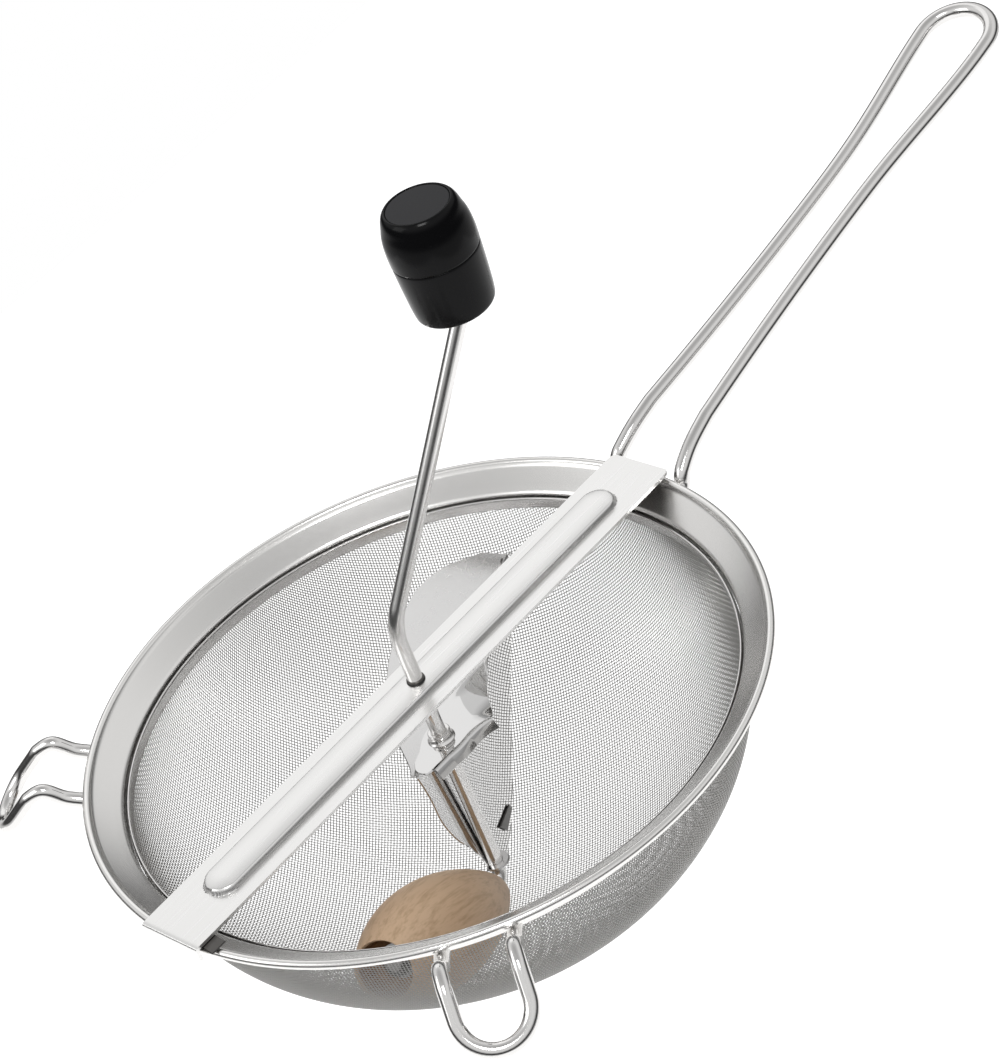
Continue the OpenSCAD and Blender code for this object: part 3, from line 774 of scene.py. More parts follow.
    def wire_surface(self, ring: Array, kept: Array) -> Surface:
        """Faces between kept rings, with both ends of every run closed.

        Args:
            ring: Ring points (along, wires, 4, 3).
            kept: Whether each ring is kept (along, wires).

        Returns:
            The wires as one surface.
        """
        number = np.cumsum(kept.ravel()).reshape(kept.shape) - 1
        points = ring[kept].reshape(-1, 3)
        pair = kept[:-1] & kept[1:]
        a, b = number[:-1][pair] * 4, number[1:][pair] * 4
        k = np.arange(4)
        nxt = (k + 1) % 4
        side = np.stack([a[:, None] + k, a[:, None] + nxt, b[:, None] + nxt, b[:, None] + k], -1)
        padded = np.pad(kept, ((1, 1), (0, 0)))
        starts = kept & ~padded[:-2]
        ends = kept & ~padded[2:]
        first = number[starts][:, None] * 4 + np.array([3, 2, 1, 0])
        last = number[ends][:, None] * 4 + np.array([0, 1, 2, 3])
        return Surface(points, np.vstack([side.reshape(-1, 4), first, last]))

    def handle(self) -> None:
        """Long wire handle in one length: weld, leg, loop, leg, weld."""
        wire = HandleWire()
        self.put("long_handle", tube(wire.path(), wire.radius, 28, wire.side()), Look.WIRE,
                 Body.STRAINER, Slot.WIRE, ("handle_loop",))

    def hooks(self) -> None:
        """Two bent wire hooks."""
        for name, angle in (("pot_hook_left", 129.6), ("pot_hook_right", -129.6)):
            wire = HookWire()
            path, side = wire.path()
            surface = tube(turned(path, angle), wire.radius, 24, turned(side, angle))
            self.put(f"{name}_wire", surface, Look.WIRE, Body.STRAINER, Slot.WIRE, (name,))


@dataclass
class HandleWire:
    """Centreline of the long handle's wire, mirrored about the XZ plane.

    Attributes:
        rim_r: Outer radius of the rim.
        reach: Reach of the handle beyond the rim.
        radius: Radius of the wire.
        slope: Rise for each millimetre outwards.
        lift: Extra rise at the end.
        root: Half the distance between the legs at the weld.
        waist: Half the distance at the waist.
        loop: Radius of the end loop.
        stretch: Length of the loop's half, as a share of its radius.
        ramp_x: Distance beyond the rim from which the legs run straight.
        ramp_z: Height there.
    """

    rim_r: float = RIM_R
    reach: float = 223.0
    radius: float = 2.9
    slope: float = math.tan(math.radians(9.7))
    lift: float = 3.4
    root: float = 15.4
    waist: float = 9.5
    loop: float = 14.6
    stretch: float = 0.94
    ramp_x: float = 24.0
    ramp_z: float = 9.4

    def half_width(self, x: Array) -> Array:
        """Half the distance between the legs.

        From the weld to the waist it falls with the square of what is left, and past the
        waist it grows to the loop's radius as v^2 (3 - 2v), v being the share gone to the
        power of 1.25.
        """
        loop_x = self.reach - self.radius - self.stretch * self.loop
        waist_x = 0.606 * loop_x
        left = np.clip((waist_x - x) / waist_x, 0, 1)
        near = self.waist + (self.root - self.waist) * (
            0.865 * left**2 + 0.135 * np.maximum(1 - np.maximum(x, 0) / 14, 0) ** 2)
        v = np.clip((x - waist_x) / (loop_x - waist_x), 0, 1) ** 1.25
        return np.where(x < waist_x, near,
                        self.waist + (self.loop - self.waist) * v * v * (3 - 2 * v))

    def height(self, x: Array) -> Array:
        """Straight slope, and past two thirds of the reach a rise with the square."""
        share = np.maximum(x / self.reach - 0.67, 0) / 0.33
        return self.ramp_z + (x - self.ramp_x) * self.slope + self.lift * share**2

    def path(self) -> Array:
        """Points of the centreline from one weld to the other."""
        gap = BEAD + self.radius
        a = np.radians([-90, -62, -36, -12])
        bead = np.stack([gap * np.cos(a) - BEAD, gap * np.sin(a)], -1)
        root = spline(np.vstack([[[-7.5, -gap - 3], [-4.5, -gap - 0.6]], bead,
                                 [[4.3, 0.9], [6.4, 2.3], [9, 3.8], [12, 5.3], [16, 6.9],
                                  [20, 8.2], [self.ramp_x, self.ramp_z]]]), 4)
        loop_x = self.reach - self.radius - self.stretch * self.loop
        x = np.linspace(self.ramp_x, loop_x, 70)[1:]
        side = np.vstack([root, np.stack([x, self.height(x)], -1)])
        leg = np.stack([side[:, 0], self.half_width(np.maximum(side[:, 0], 0)), side[:, 1]], -1)
        a = np.radians(np.linspace(90, -90, 40))[1:-1]
        x = loop_x + self.stretch * self.loop * np.cos(a)
        end = np.stack([x, self.loop * np.sin(a), self.height(x)], -1)
        path = np.vstack([leg, end, leg[::-1] * [1, -1, 1]])
        return path + [self.rim_r, 0, 0]

    def side(self) -> Array:
        """Vector square to the slope, for the wire's frames."""
        return unit(np.array([-self.slope, 0, 1]))


@dataclass
class HookWire:
    """Centreline of one pot hook that points along +X from the rim.

    Attributes:
        rim_r: Outer radius of the rim.
        radius: Radius of the wire.
        half: Half the distance between its legs.
        reach: Reach beyond the rim.
        knee: Height of the knee.
        end: Height of the end.
    """

    rim_r: float = RIM_R
    radius: float = 2.6
    half: float = 11.8
    reach: float = 35.0
    knee: float = 4.6
    end: float = -12.8

    def path(self) -> tuple[Array, Array]:
        """Points of the centreline and the vector for its frames."""
        knee = np.array([self.rim_r + 15.6, self.knee])
        end = np.array([self.rim_r + self.reach, self.end])
        start = [self.rim_r - 6.5, -BEAD - self.radius - 2.85]
        under = [self.rim_r - 1, -BEAD - self.radius - 0.05]
        slope = unit(end - knee)
        drop = np.linalg.norm(end - knee) - self.half
        side = spline(np.array([start, under, [self.rim_r + 6, -0.9], knee - [3.4, 0.6],
                                knee + slope * 3.6]), 10)
        run = knee + slope * np.linspace(3.6, drop, 5)[1:, None]
        flat = np.vstack([side, run])
        leg = np.stack([flat[:, 0], 0 * flat[:, 0] + self.half, flat[:, 1]], -1)
        a = np.radians(np.linspace(90, -90, 26))[1:-1]
        turn = knee + slope * (drop + self.half * np.cos(a))[:, None]
        arc = np.stack([turn[:, 0], self.half * np.sin(a), turn[:, 1]], -1)
        path = np.vstack([leg, arc, leg[::-1] * [1, -1, 1]])
        return path, unit(np.array([0.5, 0, 0.87]))


@dataclass
class Insert(SubAssembly):
    """Crossbar with its raised rib, end hook, clip and bush.

    Attributes:
        reach: Half the length of the bar.
        width: Width of the bar.
        low: Height of the bar's lower face.
        sheet: Thickness of the sheet.
        rib_w: Width of the rib.
        rib_h: Height of the rib.
        rib_reach: Half the length of the rib.
        flap_x: Place of the bent flap's inner face.
        flap_h: Drop of the flap from the bar's top.
        flap_bend: Radius of the flap's bend at the bar's upper face.
        flap_cut: Chamfer at the flap's end.
        hole: Radius of the bush's hole.
        corner: Length over which the corners at the handle end are rounded.
    """

    reach: float = 120.0
    width: float = 26.0
    low: float = 3.0
    sheet: float = 1.2
    rib_w: float = 14.0
    rib_h: float = 2.6
    rib_reach: float = 102.5
    flap_x: float = -120.8
    flap_h: float = 5.4
    flap_bend: float = 0.9
    flap_cut: float = 0.25
    hole: float = 3.3
    corner: float = 2.5

    def build(self, frame: dict) -> None:
        """Makes the bar's pieces and dresses the small solids under it."""
        self.bar()
        self.bush()
        self.tab()
        self.carry(frame, "bar_end_hook", Look.SPRING)
        self.carry(frame, "rim_clip", Look.SPRING)

    def tab(self) -> None:
        """Small dark spring tab that reaches past the bar's edge over the rim's bead."""
        x, y = np.meshgrid(np.linspace(-119.3, -113.6, 7), np.linspace(-17.6, -8.0, 9),
                           indexing="ij")
        z = 2.35 - 0.012 * np.minimum(y + 13.5, 0) ** 2
        self.put("clip_tab", plate(np.stack([x + 0.25 * (y + 13) / 4, y, z], -1), 0.7), Look.SPRING,
                 Body.INSERT, Slot.SPRING)

    def bush(self) -> None:
        """Thin sleeve between rod and bar, with a narrow upper edge and a wider lower flange."""
        profile = rounded([[2.75, -2.0], [4.6, -2.0], [4.6, -1.0], [3.2, 2.2], [3.2, 6.9],
                           [3.1, 7.1], [2.75, 7.1]], [0.1, 0.3, 0.3, 0.4, 0.1, 0.1, 0.1], 3)
        self.put("bar_bush_sleeve", lathe(profile, 64), Look.BUSH, Body.INSERT, Slot.BUSH,
                 ("bar_bush",))

    def rise(self, x: Array, y: Array) -> Array:
        """Height of the rib above the flat.

        With d the distance from the rib's middle line as a share of half its width, the
        crown adds 27% of the height times 1 - d^2.  The flank, 1.15 mm wide, adds the rest
        as q (2 - q), q being the share of the flank that is passed.
        """
        run = self.rib_reach - self.rib_w / 2
        d = np.minimum(np.hypot(np.maximum(np.abs(x) - run, 0), y) / (self.rib_w / 2), 1)
        q = np.minimum((1 - d) * self.rib_w / 2 / 1.15, 1)
        return self.rib_h * (0.27 * (1 - d**2) + 0.73 * q * (2 - q))

    def bar(self) -> None:
        """Pressed sheet bar with a rib, a round hole and a flap bent down at one end."""
        half, r = self.width / 2, self.hole
        y = np.unique(np.concatenate([np.linspace(-half, half, 27), np.linspace(-7.2, 7.2, 73),
                                      [-r, r]]).round(4))
        x = np.unique(np.concatenate([np.linspace(-self.reach, self.reach, 161),
                                      np.linspace(94, 103, 19), -np.linspace(94, 103, 19),
                                      np.linspace(-9, 9, 37), [-r, r]]).round(4))
        gx, gy = np.meshgrid(x, y, indexing="ij")
        # The hole: the square of side 2r becomes a circle, and the lines round it give way.
        box = np.maximum(np.abs(gx), np.abs(gy))
        dist = np.maximum(np.hypot(gx, gy), 1e-9)
        blend = np.clip((box - r) / (0.95 * r), 0, 1)
        pull = np.where(box < r - 1e-6, 1.0, mix(box / dist, 1.0, blend))
        gx, gy = gx * pull, gy * pull
        # The corners at the handle end are rounded off.
        gy = gy * (1 - 0.09 * np.clip((gx - self.reach + self.corner) / self.corner, 0, 1) ** 2)
        inside = box < r - 1e-6
        rise = self.rise(gx, gy)
        top = np.stack([gx, gy, self.low + self.sheet + rise], -1)
        lower_rise = np.maximum(self.rise(gx, gy * 1.12) - 0.15 * (rise > 0.1), 0)
        low = np.stack([gx, gy, self.low + lower_rise], -1)
        self.put("crossbar_sheet", self.sheet_with_hole(top, low, inside), Look.BAR,
                 Body.INSERT, Slot.BAR, ("crossbar",), 38)

    def flap_section(self, x: float, z: float, radius: float, cut: float) -> Array:
        """One face of the flap in the XZ plane, from its lower end up to the bar.

        A quarter circle turns down from the bar's face, and a straight drop ends in a
        chamfer.

        Args:
            x: Place of the face.
            z: Height of the bar's face that it continues.
            radius: Radius of the bend.
            cut: Chamfer at the end, positive towards +X.

        Returns:
            Points (x, z), one to a row.
        """
        end = self.low + self.sheet - self.flap_h
        b = np.radians(np.linspace(90, 0, 7))[:-1]
        bend = np.stack([x + radius * (1 - np.sin(b)), z - radius * (1 - np.cos(b))], -1)
        return np.vstack([[[x + cut, end], [x, end + abs(cut)]], bend])

    @staticmethod
    def swept(section: Array, y: Array) -> Array:
        """A section (x, z) carried along Y: a grid of section points by places."""
        return np.stack([section[:, :1] + 0 * y, 0 * section[:, :1] + y,
                         section[:, 1:] + 0 * y], -1)

    def sheet_with_hole(self, top: Array, low: Array, inside: Array) -> Surface:
        """Upper and lower faces, their margins, the hole's wall and the flap.

        Args:
            top: Grid of points of the upper face.
            low: Grid of points of the lower face.
            inside: Grid points inside the hole, which are left out.

        Returns:
            The closed sheet.
        """
        # Rows before the first: the flap, from its lower end up to the bar.
        y = top[0, :, 1]
        outer = self.flap_section(self.flap_x - self.sheet, self.low + self.sheet,
                                  self.flap_bend, self.flap_cut)
        inner = self.flap_section(self.flap_x, self.low, 0.05, -self.flap_cut)
        top = np.concatenate([self.swept(outer, y), top])
        low = np.concatenate([self.swept(inner, y), low])
        inside = np.concatenate([np.zeros((len(outer), len(y)), bool), inside])
        rows, cols = top.shape[:2]
        m = rows * cols
        cell_out = ~(inside[:-1, :-1] | inside[1:, :-1] | inside[:-1, 1:] | inside[1:, 1:])
        face = grid_quads(rows, cols, False, False).reshape(rows - 1, cols - 1, 4)[cell_out]
        # Margins: every edge that belongs to one face only.
        edges = np.concatenate([face[:, [0, 1]], face[:, [1, 2]], face[:, [2, 3]], face[:, [3, 0]]])
        key = np.sort(edges, axis=1)
        _, index, count = np.unique(key, axis=0, return_index=True, return_counts=True)
        border = edges[index[count == 1]]
        wall = np.stack([border[:, 0], border[:, 1], m + border[:, 1], m + border[:, 0]], -1)
        points = np.concatenate([top.reshape(-1, 3), low.reshape(-1, 3)])
        quads = np.vstack([face, m + face[:, ::-1], wall[:, ::-1]])
        used = np.unique(quads)
        renumber = np.zeros(len(points), int)
        renumber[used] = np.arange(len(used))
        return Surface(points[used], renumber[quads])


@dataclass(frozen=True)
class Axle:
    """Line of the roller's axle, which starts on the crank's axis.

    Attributes:
        turn: Its direction, in degrees.
        slope: Its slope, in degrees.
        corner: Height at which it crosses the crank's axis.
    """

    turn: float = 205.5
    slope: float = 31.2
    corner: float = -90.7

    def line(self) -> Array:
        """Unit vector along the axle, outwards."""
        return direction(self.turn, self.slope)

    def onto_z(self) -> tuple[float, float, float]:
        """Angles that bring the axle onto Z, in radians."""
        e = self.line()
        turn = Matrix.Rotation(-math.atan2(e[1], e[0]), 3, "Z")
        tip = Matrix.Rotation(-math.acos(e[2]), 3, "Y")
        return tuple((tip @ turn).to_euler("XYZ"))


@dataclass
class Rotor(SubAssembly):
    """Crank rod, scraper and the small parts on the rod.

    Attributes:
        rod_r: Radius of the rod.
        crank_r: Distance from the crank's axis to the knob's axis.
        arm_low: Height at which the arm's line leaves the crank's axis.
        arm_high: Height at which it meets the knob's axis.
        arm_turn: Direction of the arm, in degrees.
        arm_bend: Radius of the bend above the bar.
        wrist_bend: Radius of the bend under the knob.
        axle: Line of the roller's axle.
        axle_bend: Radius of the bend at the axle.
        axle_end: Length of the axle from the corner.
        spindle_top: Height of the rod's end in the knob.
    """

    rod_r: float = 2.65
    crank_r: float = 61.8
    arm_low: float = 29.9
    arm_high: float = 118.4
    arm_turn: float = -15.0
    arm_bend: float = 24.0
    wrist_bend: float = 8.0
    axle: Axle = Axle()
    axle_bend: float = 5.5
    axle_end: float = 94.85
    spindle_top: float = 156.1

    def build(self, frame: dict) -> None:
        """Makes the rotor's pieces and dresses the small solids on the rod."""
        self.rod()
        Scraper(self.shop).build()
        self.rings()
        for node in ("roller_inner_washer", "roller_end_washer", "knob_washer"):
            self.carry(frame, node, Look.WIRE)
        for node in ("roller_push_nut", "knob_push_nut"):
            self.carry(frame, node, Look.SPRING)

    def rings(self) -> None:
        """Fine stop ring on the bar, in dark steel so that it also paints the thin shadow line where
        the rod enters the rib, and the bright pressed collar on the scraper's plate.
        """
        # Painted shadow: the real stop ring is made dark to stand for the shade line round the rod at
        # the rib.
        stop = rounded([[2.6, 7.2], [3.05, 7.2], [3.15, 7.45], [3.0, 7.75], [2.6, 7.8]],
                       [0.05, 0.1, 0.15, 0.15, 0.05], 3)
        self.put("stop_ring", lathe(stop, 64), Look.SPRING, Body.ROTOR, Slot.SPRING,
                 ("rod_stop_ring",))
        collar = rounded([[2.62, -19.9], [4.9, -19.95], [4.2, -19.2], [3.75, -18.2],
                          [4.0, -17.4], [3.9, -16.8], [3.2, -16.67], [2.62, -16.8]],
                         [0.05, 0.2, 0.5, 0.5, 0.4, 0.3, 0.3, 0.05], 5)
        self.put("plate_collar", lathe(collar, 64), Look.ROD, Body.ROTOR, Slot.WIRE,
                 ("scraper_collar",), 60)

    def rod(self) -> None:
        """One bent rod: spindle, wrist, arm, bend, upright shaft, bend, axle.

        The path runs from corner to corner, and each corner becomes an arc that touches
        both of its lines.  The rod is pressed a little wider at its bend above the bar.
        """
        d, e = direction(self.arm_turn), self.axle.line()
        foot = np.array([0, 0, self.axle.corner])
        corners = np.array([d * self.crank_r + [0, 0, self.spindle_top],
                            d * self.crank_r + [0, 0, self.arm_high],
                            [0, 0, self.arm_low], foot, e * self.axle_end + foot])
        bends = [self.arc(corners[k], corners[k + 1], corners[k + 2], radius)
                 for k, radius in enumerate((self.wrist_bend, self.arm_bend, self.axle_bend))]
        path = self.filled(np.vstack([corners[:1], *bends, corners[-1:]]), 2.5)
        arm_side = np.array([-d[1], d[0], 0])
        axle_side = unit(np.cross([0, 0, 1], e))
        turn = np.clip((path[:, 2] + 60) / 40, 0, 1)[:, None]
        side = unit(mix(-axle_side, arm_side, turn * turn * (3 - 2 * turn)))
        near = np.hypot(path[:, 0], path[:, 1]) < 20
        press = 1 + 0.2 * np.exp(-(((path[:, 2] - 25) / 7) ** 2)) * near
        along = unit(np.gradient(path, axis=0))
        self.put("crank_rod_bent", tube(path, self.rod_r, 32, np.cross(side, along), press), Look.ROD,
                 Body.ROTOR, Slot.WIRE, ("crank_rod",))

    @staticmethod
    def arc(before: Array, corner: Array, after: Array, radius: float) -> Array:
        """Arc of a radius that touches the lines from a corner to its two neighbours."""
        u, v = unit(before - corner), unit(after - corner)
        half = 0.5 * math.acos(float(np.dot(u, v)))
        tangent = radius / math.tan(half)
        centre = corner + unit(u + v) * radius / math.sin(half)
        start, end = corner + u * tangent - centre, corner + v * tangent - centre
        total = math.pi - 2 * half
        t = np.linspace(0, 1, 21)[:, None]
        return centre + (np.sin((1 - t) * total) * start + np.sin(t * total) * end) / math.sin(total)

    @staticmethod
    def filled(path: Array, step: float) -> Array:
        """The path with its long runs cut into even steps of arc near a given length."""
        run = np.concatenate([[0], np.cumsum(np.linalg.norm(np.diff(path, axis=0), axis=1))])
        even = np.linspace(0, run[-1], int(run[-1] / step))
        at = np.unique(np.concatenate([even, run]).round(3))
        at = at[np.concatenate([[True], np.diff(at) > 0.12])]
        return np.stack([np.interp(at, run, path[:, k]) for k in range(3)], -1)


@dataclass
class Scraper(SubAssembly):
    """Folded sheet scraper: upright blade, flange, plate round the rod, and foot.

    Attributes:
        sheet: Thickness of the sheet.
        heel: Inner end of the fold.
        turn: Direction of the scraping edge, in degrees.
        reach: Reach of the tip from the crank's axis.
        flange: Greatest width of the flange.
        flange_rise: Rise of the flange for each millimetre behind the fold.
        bend: Distance of the fold's bend from its corner.
        hole: Radius of the plate's hole for the rod.
        hole_zone: Radius within which the plate's lines give way to the hole.
        foot_z: Height of the foot.
    """

    sheet: float = 0.75
    heel: tuple[float, float, float] = (-17.0, -2.8, -21.7)
    turn: float = 33.0
    reach: float = 103.0
    flange: float = 27.7
    flange_rise: float = 0.17
    bend: float = 1.3
    hole: float = 2.72
    hole_zone: float = 9.0
    foot_z: float = -79.7

    def build(self) -> None:
        """Makes the scraper's pieces."""
        self.blade()
        self.top_plate()
        self.lug()
        self.foot()

    def fold(self, t: Array) -> Array:
        """Point of the fold at share t, on a straight line from heel to tip."""
        tip = direction(self.turn - 4.5) * (self.reach - 6) + [0, 0, self.heel[2] - 3]
        return mix(np.array(self.heel), tip, t[..., None])

    def edge(self, t: Array) -> Array:
        """Scraping edge at share t.

        Its distance from the axis grows as t^0.8, its direction swings out by two degrees
        in the middle and back by four at the tip, and its height follows the mesh.
        """
        start = np.array([-0.5, 3.15])
        r = mix(np.linalg.norm(start), self.reach, t**0.8)
        a = np.radians(self.turn + 2 * np.sin(np.pi * t) - 4 * t**4)
        near = ((1 - t) ** 6)[..., None]
        plan = mix(np.stack([r * np.cos(a), r * np.sin(a)], -1), start, near)
        wide, high = INNER_R - EDGE_GAP, INNER_DEPTH - EDGE_GAP
        share = np.minimum(np.hypot(plan[..., 0], plan[..., 1]) / wide, 1)
        z = SHOULDER - high * np.maximum(1 - share**POWER, 0) ** (1 / POWER)
        return np.concatenate([plan, z[..., None]], -1)

    def blade(self) -> None:
        """Blade and flange, which meet at the fold.

        Each column runs from the scraping edge straight up to the fold, with a bulge near
        the rod that dies away as (1 - t)^5, round the fold's small bend, and out along the
        flange, whose width follows a table along the fold.
        """
        t = np.linspace(0, 1, 91)
        fold, edge = self.fold(t), self.edge(t)
        bulge = spline(np.array([[0, 0], [-1.2, -0.8], [-3.8, -2.3], [-3.3, -2.1], [-0.4, -0.4],
                                 [0.6, 0.3], [0, 0]]), 8)
        bulge = np.concatenate([bulge, 0 * bulge[:, :1]], 1)
        s = np.linspace(0, 1, len(bulge))[None, :, None]
        upright = mix(fold[:, None], edge[:, None], s) + bulge * ((1 - t) ** 5)[:, None, None]
        shares = np.array([[0, 0.04], [0.05, 0.15], [0.1, 0.3], [0.19, 0.53], [0.27, 0.68],
                           [0.34, 0.79], [0.43, 0.89], [0.52, 0.955], [0.66, 1], [0.79, 0.985],
                           [0.885, 0.85], [0.96, 0.6], [1, 0.25]])
        width = self.flange * np.interp(t, shares[:, 0], shares[:, 1])
        smooth = np.convolve(np.pad(width, 3, mode="edge"), np.ones(7) / 7, "valid")
        width = np.maximum(smooth, 0.8)
        line = self.fold(np.array([0.0, 1.0]))
        a = math.atan2(line[1, 1] - line[0, 1], line[1, 0] - line[0, 0]) + math.pi / 2
        back = np.array([math.cos(a), math.sin(a), self.flange_rise])
        far = fold + width[:, None] * back
        # The bend is a parabola between a point on the blade and one on the flange.
        low = fold + unit(upright[:, 6] - fold) * self.bend
        high = fold + unit(far - fold) * np.minimum(self.bend, 0.45 * width)[:, None]
        q = np.linspace(0, 1, 7)[None, :, None]
        turn = (1 - q) ** 2 * low[:, None] + 2 * q * (1 - q) * fold[:, None] + q**2 * high[:, None]
        w = np.linspace(0, 1, 13)[None, 1:, None]
        flange = mix(high[:, None], far[:, None], w)
        self.put("scraper_sheet", plate(np.concatenate([upright[:, :1:-1], turn], 1), self.sheet),
                 Look.BLADE, Body.ROTOR, Slot.BLADE, ("scraper_blade",), 40)
        self.put("scraper_flange", plate(np.concatenate([turn[:, -1:], flange], 1), self.sheet),
                 Look.FLANGE, Body.ROTOR, Slot.BLADE, (), 40)

    @staticmethod
    def spread(path: Array, shares: Array) -> Array:
        """Points of a plan path at shares of its point numbers."""
        at = np.linspace(0, 1, len(path))
        return np.stack([np.interp(shares, at, path[:, k]) for k in (0, 1)], -1)

    def top_plate(self) -> None:
        """Plate that the rod passes through, with a curled front lip.

        Rows run from the front edge to the flange, columns from left to right.  The right
        side of the front dips with the square of the distance.
        """
        left = spline(np.array([[-12.6, -9.6], [-15.2, -8.2], [-16.1, -5.0], [-15.6, -2.2],
                                [-13.2, 0.6]]), 6)
        right = spline(np.array([[15.6, -9.9], [18.0, -8.3], [22.1, -2.3], [26.6, 3.5],
                                 [32.5, 8.3], [40.1, 13.2], [47.2, 19.0], [51.2, 29.6]]), 6)
        s = np.linspace(0, 1, 34)
        q = np.linspace(0, 1, 71)[None, :, None]
        plan = mix(self.spread(left, s)[:, None], self.spread(right, s)[:, None], q)
        plan[..., 1] += 2.2 * ((1 - s) ** 2)[:, None]
        # Lines near the rod give way to a round hole.
        d = np.maximum(np.hypot(plan[..., 0], plan[..., 1]), 1e-6)
        push = np.where(d < self.hole_zone, mix(self.hole, self.hole_zone, d / self.hole_zone), d)
        plan = plan * (push / d)[..., None]
        calm = np.clip((11 - plan[..., 1]) / 14, 0, 1)
        z = self.heel[2] + 1.25 - 0.02 * np.maximum(plan[..., 0] - 6.5, 0) ** 2 * calm
        top = np.concatenate([plan, z[..., None]], -1)
        a = np.radians(np.linspace(0, 62, 8))[:0:-1]
        run = np.array([3.2, 1.6])
        out = np.concatenate([1.32 + 0.47 * run, 1.5 * np.sin(a)])[:, None]
        down = np.concatenate([0.8 + 0.88 * run, 1.5 * (1 - np.cos(a))])[:, None]
        lip = np.repeat(top[:1], len(out), axis=0)
        lip[..., 1] -= out
        lip[..., 2] -= down
        self.put("scraper_top_plate", plate(np.concatenate([lip, top]), 0.9), Look.BLADE,
                 Body.ROTOR, Slot.BLADE, ("scraper_plate",), 40)

    def lug(self) -> None:
        """Narrow strap that lies on the blade's front, right of the rod.

        It is a straight blend between four corners on the blade, moved out by its stand-off
        along the blade's level normal.
        """
        corners = np.array([[[24.3, 17.4, -82.4], [25.6, 18.3, -85.4]],
                            [[13.0, 10.4, -79.7], [16.1, 12.1, -85.0]]])
        u = np.linspace(0, 1, 9)[:, None, None]
        v = np.linspace(0, 1, 5)[None, :, None]
        ends = mix(corners[:, :1], corners[:, 1:], v)
        face = mix(ends[:1], ends[1:], u)
        self.put("scraper_lug", plate(face + 0.85 * np.array([0.54, -0.84, 0]), 0.7), Look.SPRING,
                 Body.ROTOR, Slot.BLADE)

    def foot(self) -> None:
        """Small saddle round the rod just above its bend."""
        a = np.radians(np.linspace(-200, 20, 40))
        radius = np.linspace(2.75, 4.7, 5)[:, None]
        g = np.stack([radius * np.cos(a), radius * np.sin(a), self.foot_z + 0 * radius * a], -1)
        self.put("scraper_foot_saddle", plate(turned(g, self.turn - 10), 1.1), Look.BLADE,
                 Body.ROTOR, Slot.BLADE, ("scraper_foot",), 40)


@dataclass
class Roller(SubAssembly):
    """Beech roller, egg-shaped to follow the mesh.

    Attributes:
        start: Where it starts along the axle.
        length: Its length.
        bore: Radius of its bore.
        recess_r: Radius of the recess in its outer end.
        recess: Depth of the recess.
    """

    start: float = 10.9
    length: float = 91.6
    bore: float = 2.75
    recess_r: float = 9.7
    recess: float = 12.0

    def outline(self, axle: Axle) -> Array:
        """Radius along the axle: the distance to the mesh's inner face, less a gap."""
        a = np.radians(np.linspace(0, 90, 1200))
        wall = np.stack([INNER_R * np.cos(a) ** (2 / POWER),
                         SHOULDER - INNER_DEPTH * np.sin(a) ** (2 / POWER)], -1)
        s = np.concatenate([self.start + np.array([0, 0.3, 0.8, 1.5, 2.4]),
                            np.linspace(self.start + 3.4, self.start + self.length, 70)])
        e = math.radians(axle.slope)
        p = np.stack([s * math.cos(e), axle.corner + s * math.sin(e)], -1)
        r = np.linalg.norm(p[:, None] - wall[None], axis=2).min(axis=1) - ROLLER_GAP
        nose = np.maximum(1 - (s - self.start) / 3.2, 0) ** 2
        return np.stack([r - 2.3 * nose, s], -1)

    def build(self, axle: Axle) -> None:
        """Turned body with a bore, and a thin shell of darker beech on its recess wall, which paints
        the shade in the recess.
        """
        side = self.outline(axle)
        end = self.start + self.length
        rim = side[-1, 0]
        side = side[:-1]
        floor = end - self.recess
        lip = rounded([[side[-1, 0], side[-1, 1]], [rim, end], [self.recess_r + 0.5, end],
                       [self.recess_r, end - 0.8], [self.recess_r - 0.2, end - 2.5]],
                      [0, 0.5, 0.3, 0.5, 0], 4, False)[1:]
        shell = np.vstack([[self.bore, self.start], side, lip])
        inner = [[self.recess_r - 0.35, floor + 0.6], [self.recess_r - 0.9, floor],
                 [self.bore, floor]]
        e = axle.line()
        across = unit(np.cross([0, 0, 1], e))
        axes = np.stack([across, np.cross(e, across), e], -1)
        origin = np.array([0, 0, axle.corner])
        body = lathe(np.vstack([shell, inner]), 128).moved(axes, origin)
        self.put("beech_roller", body, Look.BEECH, Body.ROLLER, Slot.BEECH, ("roller",), 50)
        # Painted shade: a thin shell of darker beech just inside the recess wall and floor.
        cup = rounded([[self.recess_r - 0.18, end - 1.6], [self.recess_r - 0.3, floor + 0.9],
                       [self.recess_r - 0.9, floor + 0.12], [self.bore + 0.4, floor + 0.12]],
                      [0, 0, 0.5, 0], 4, False)
        thick = np.vstack([cup, (cup + [-0.1, 0.1])[::-1]])
        self.put("roller_recess_painted_shade", lathe(thick, 96).moved(axes, origin), Look.RECESS_SHADE,
                 Body.ROLLER, Slot.BEECH, (), 60)


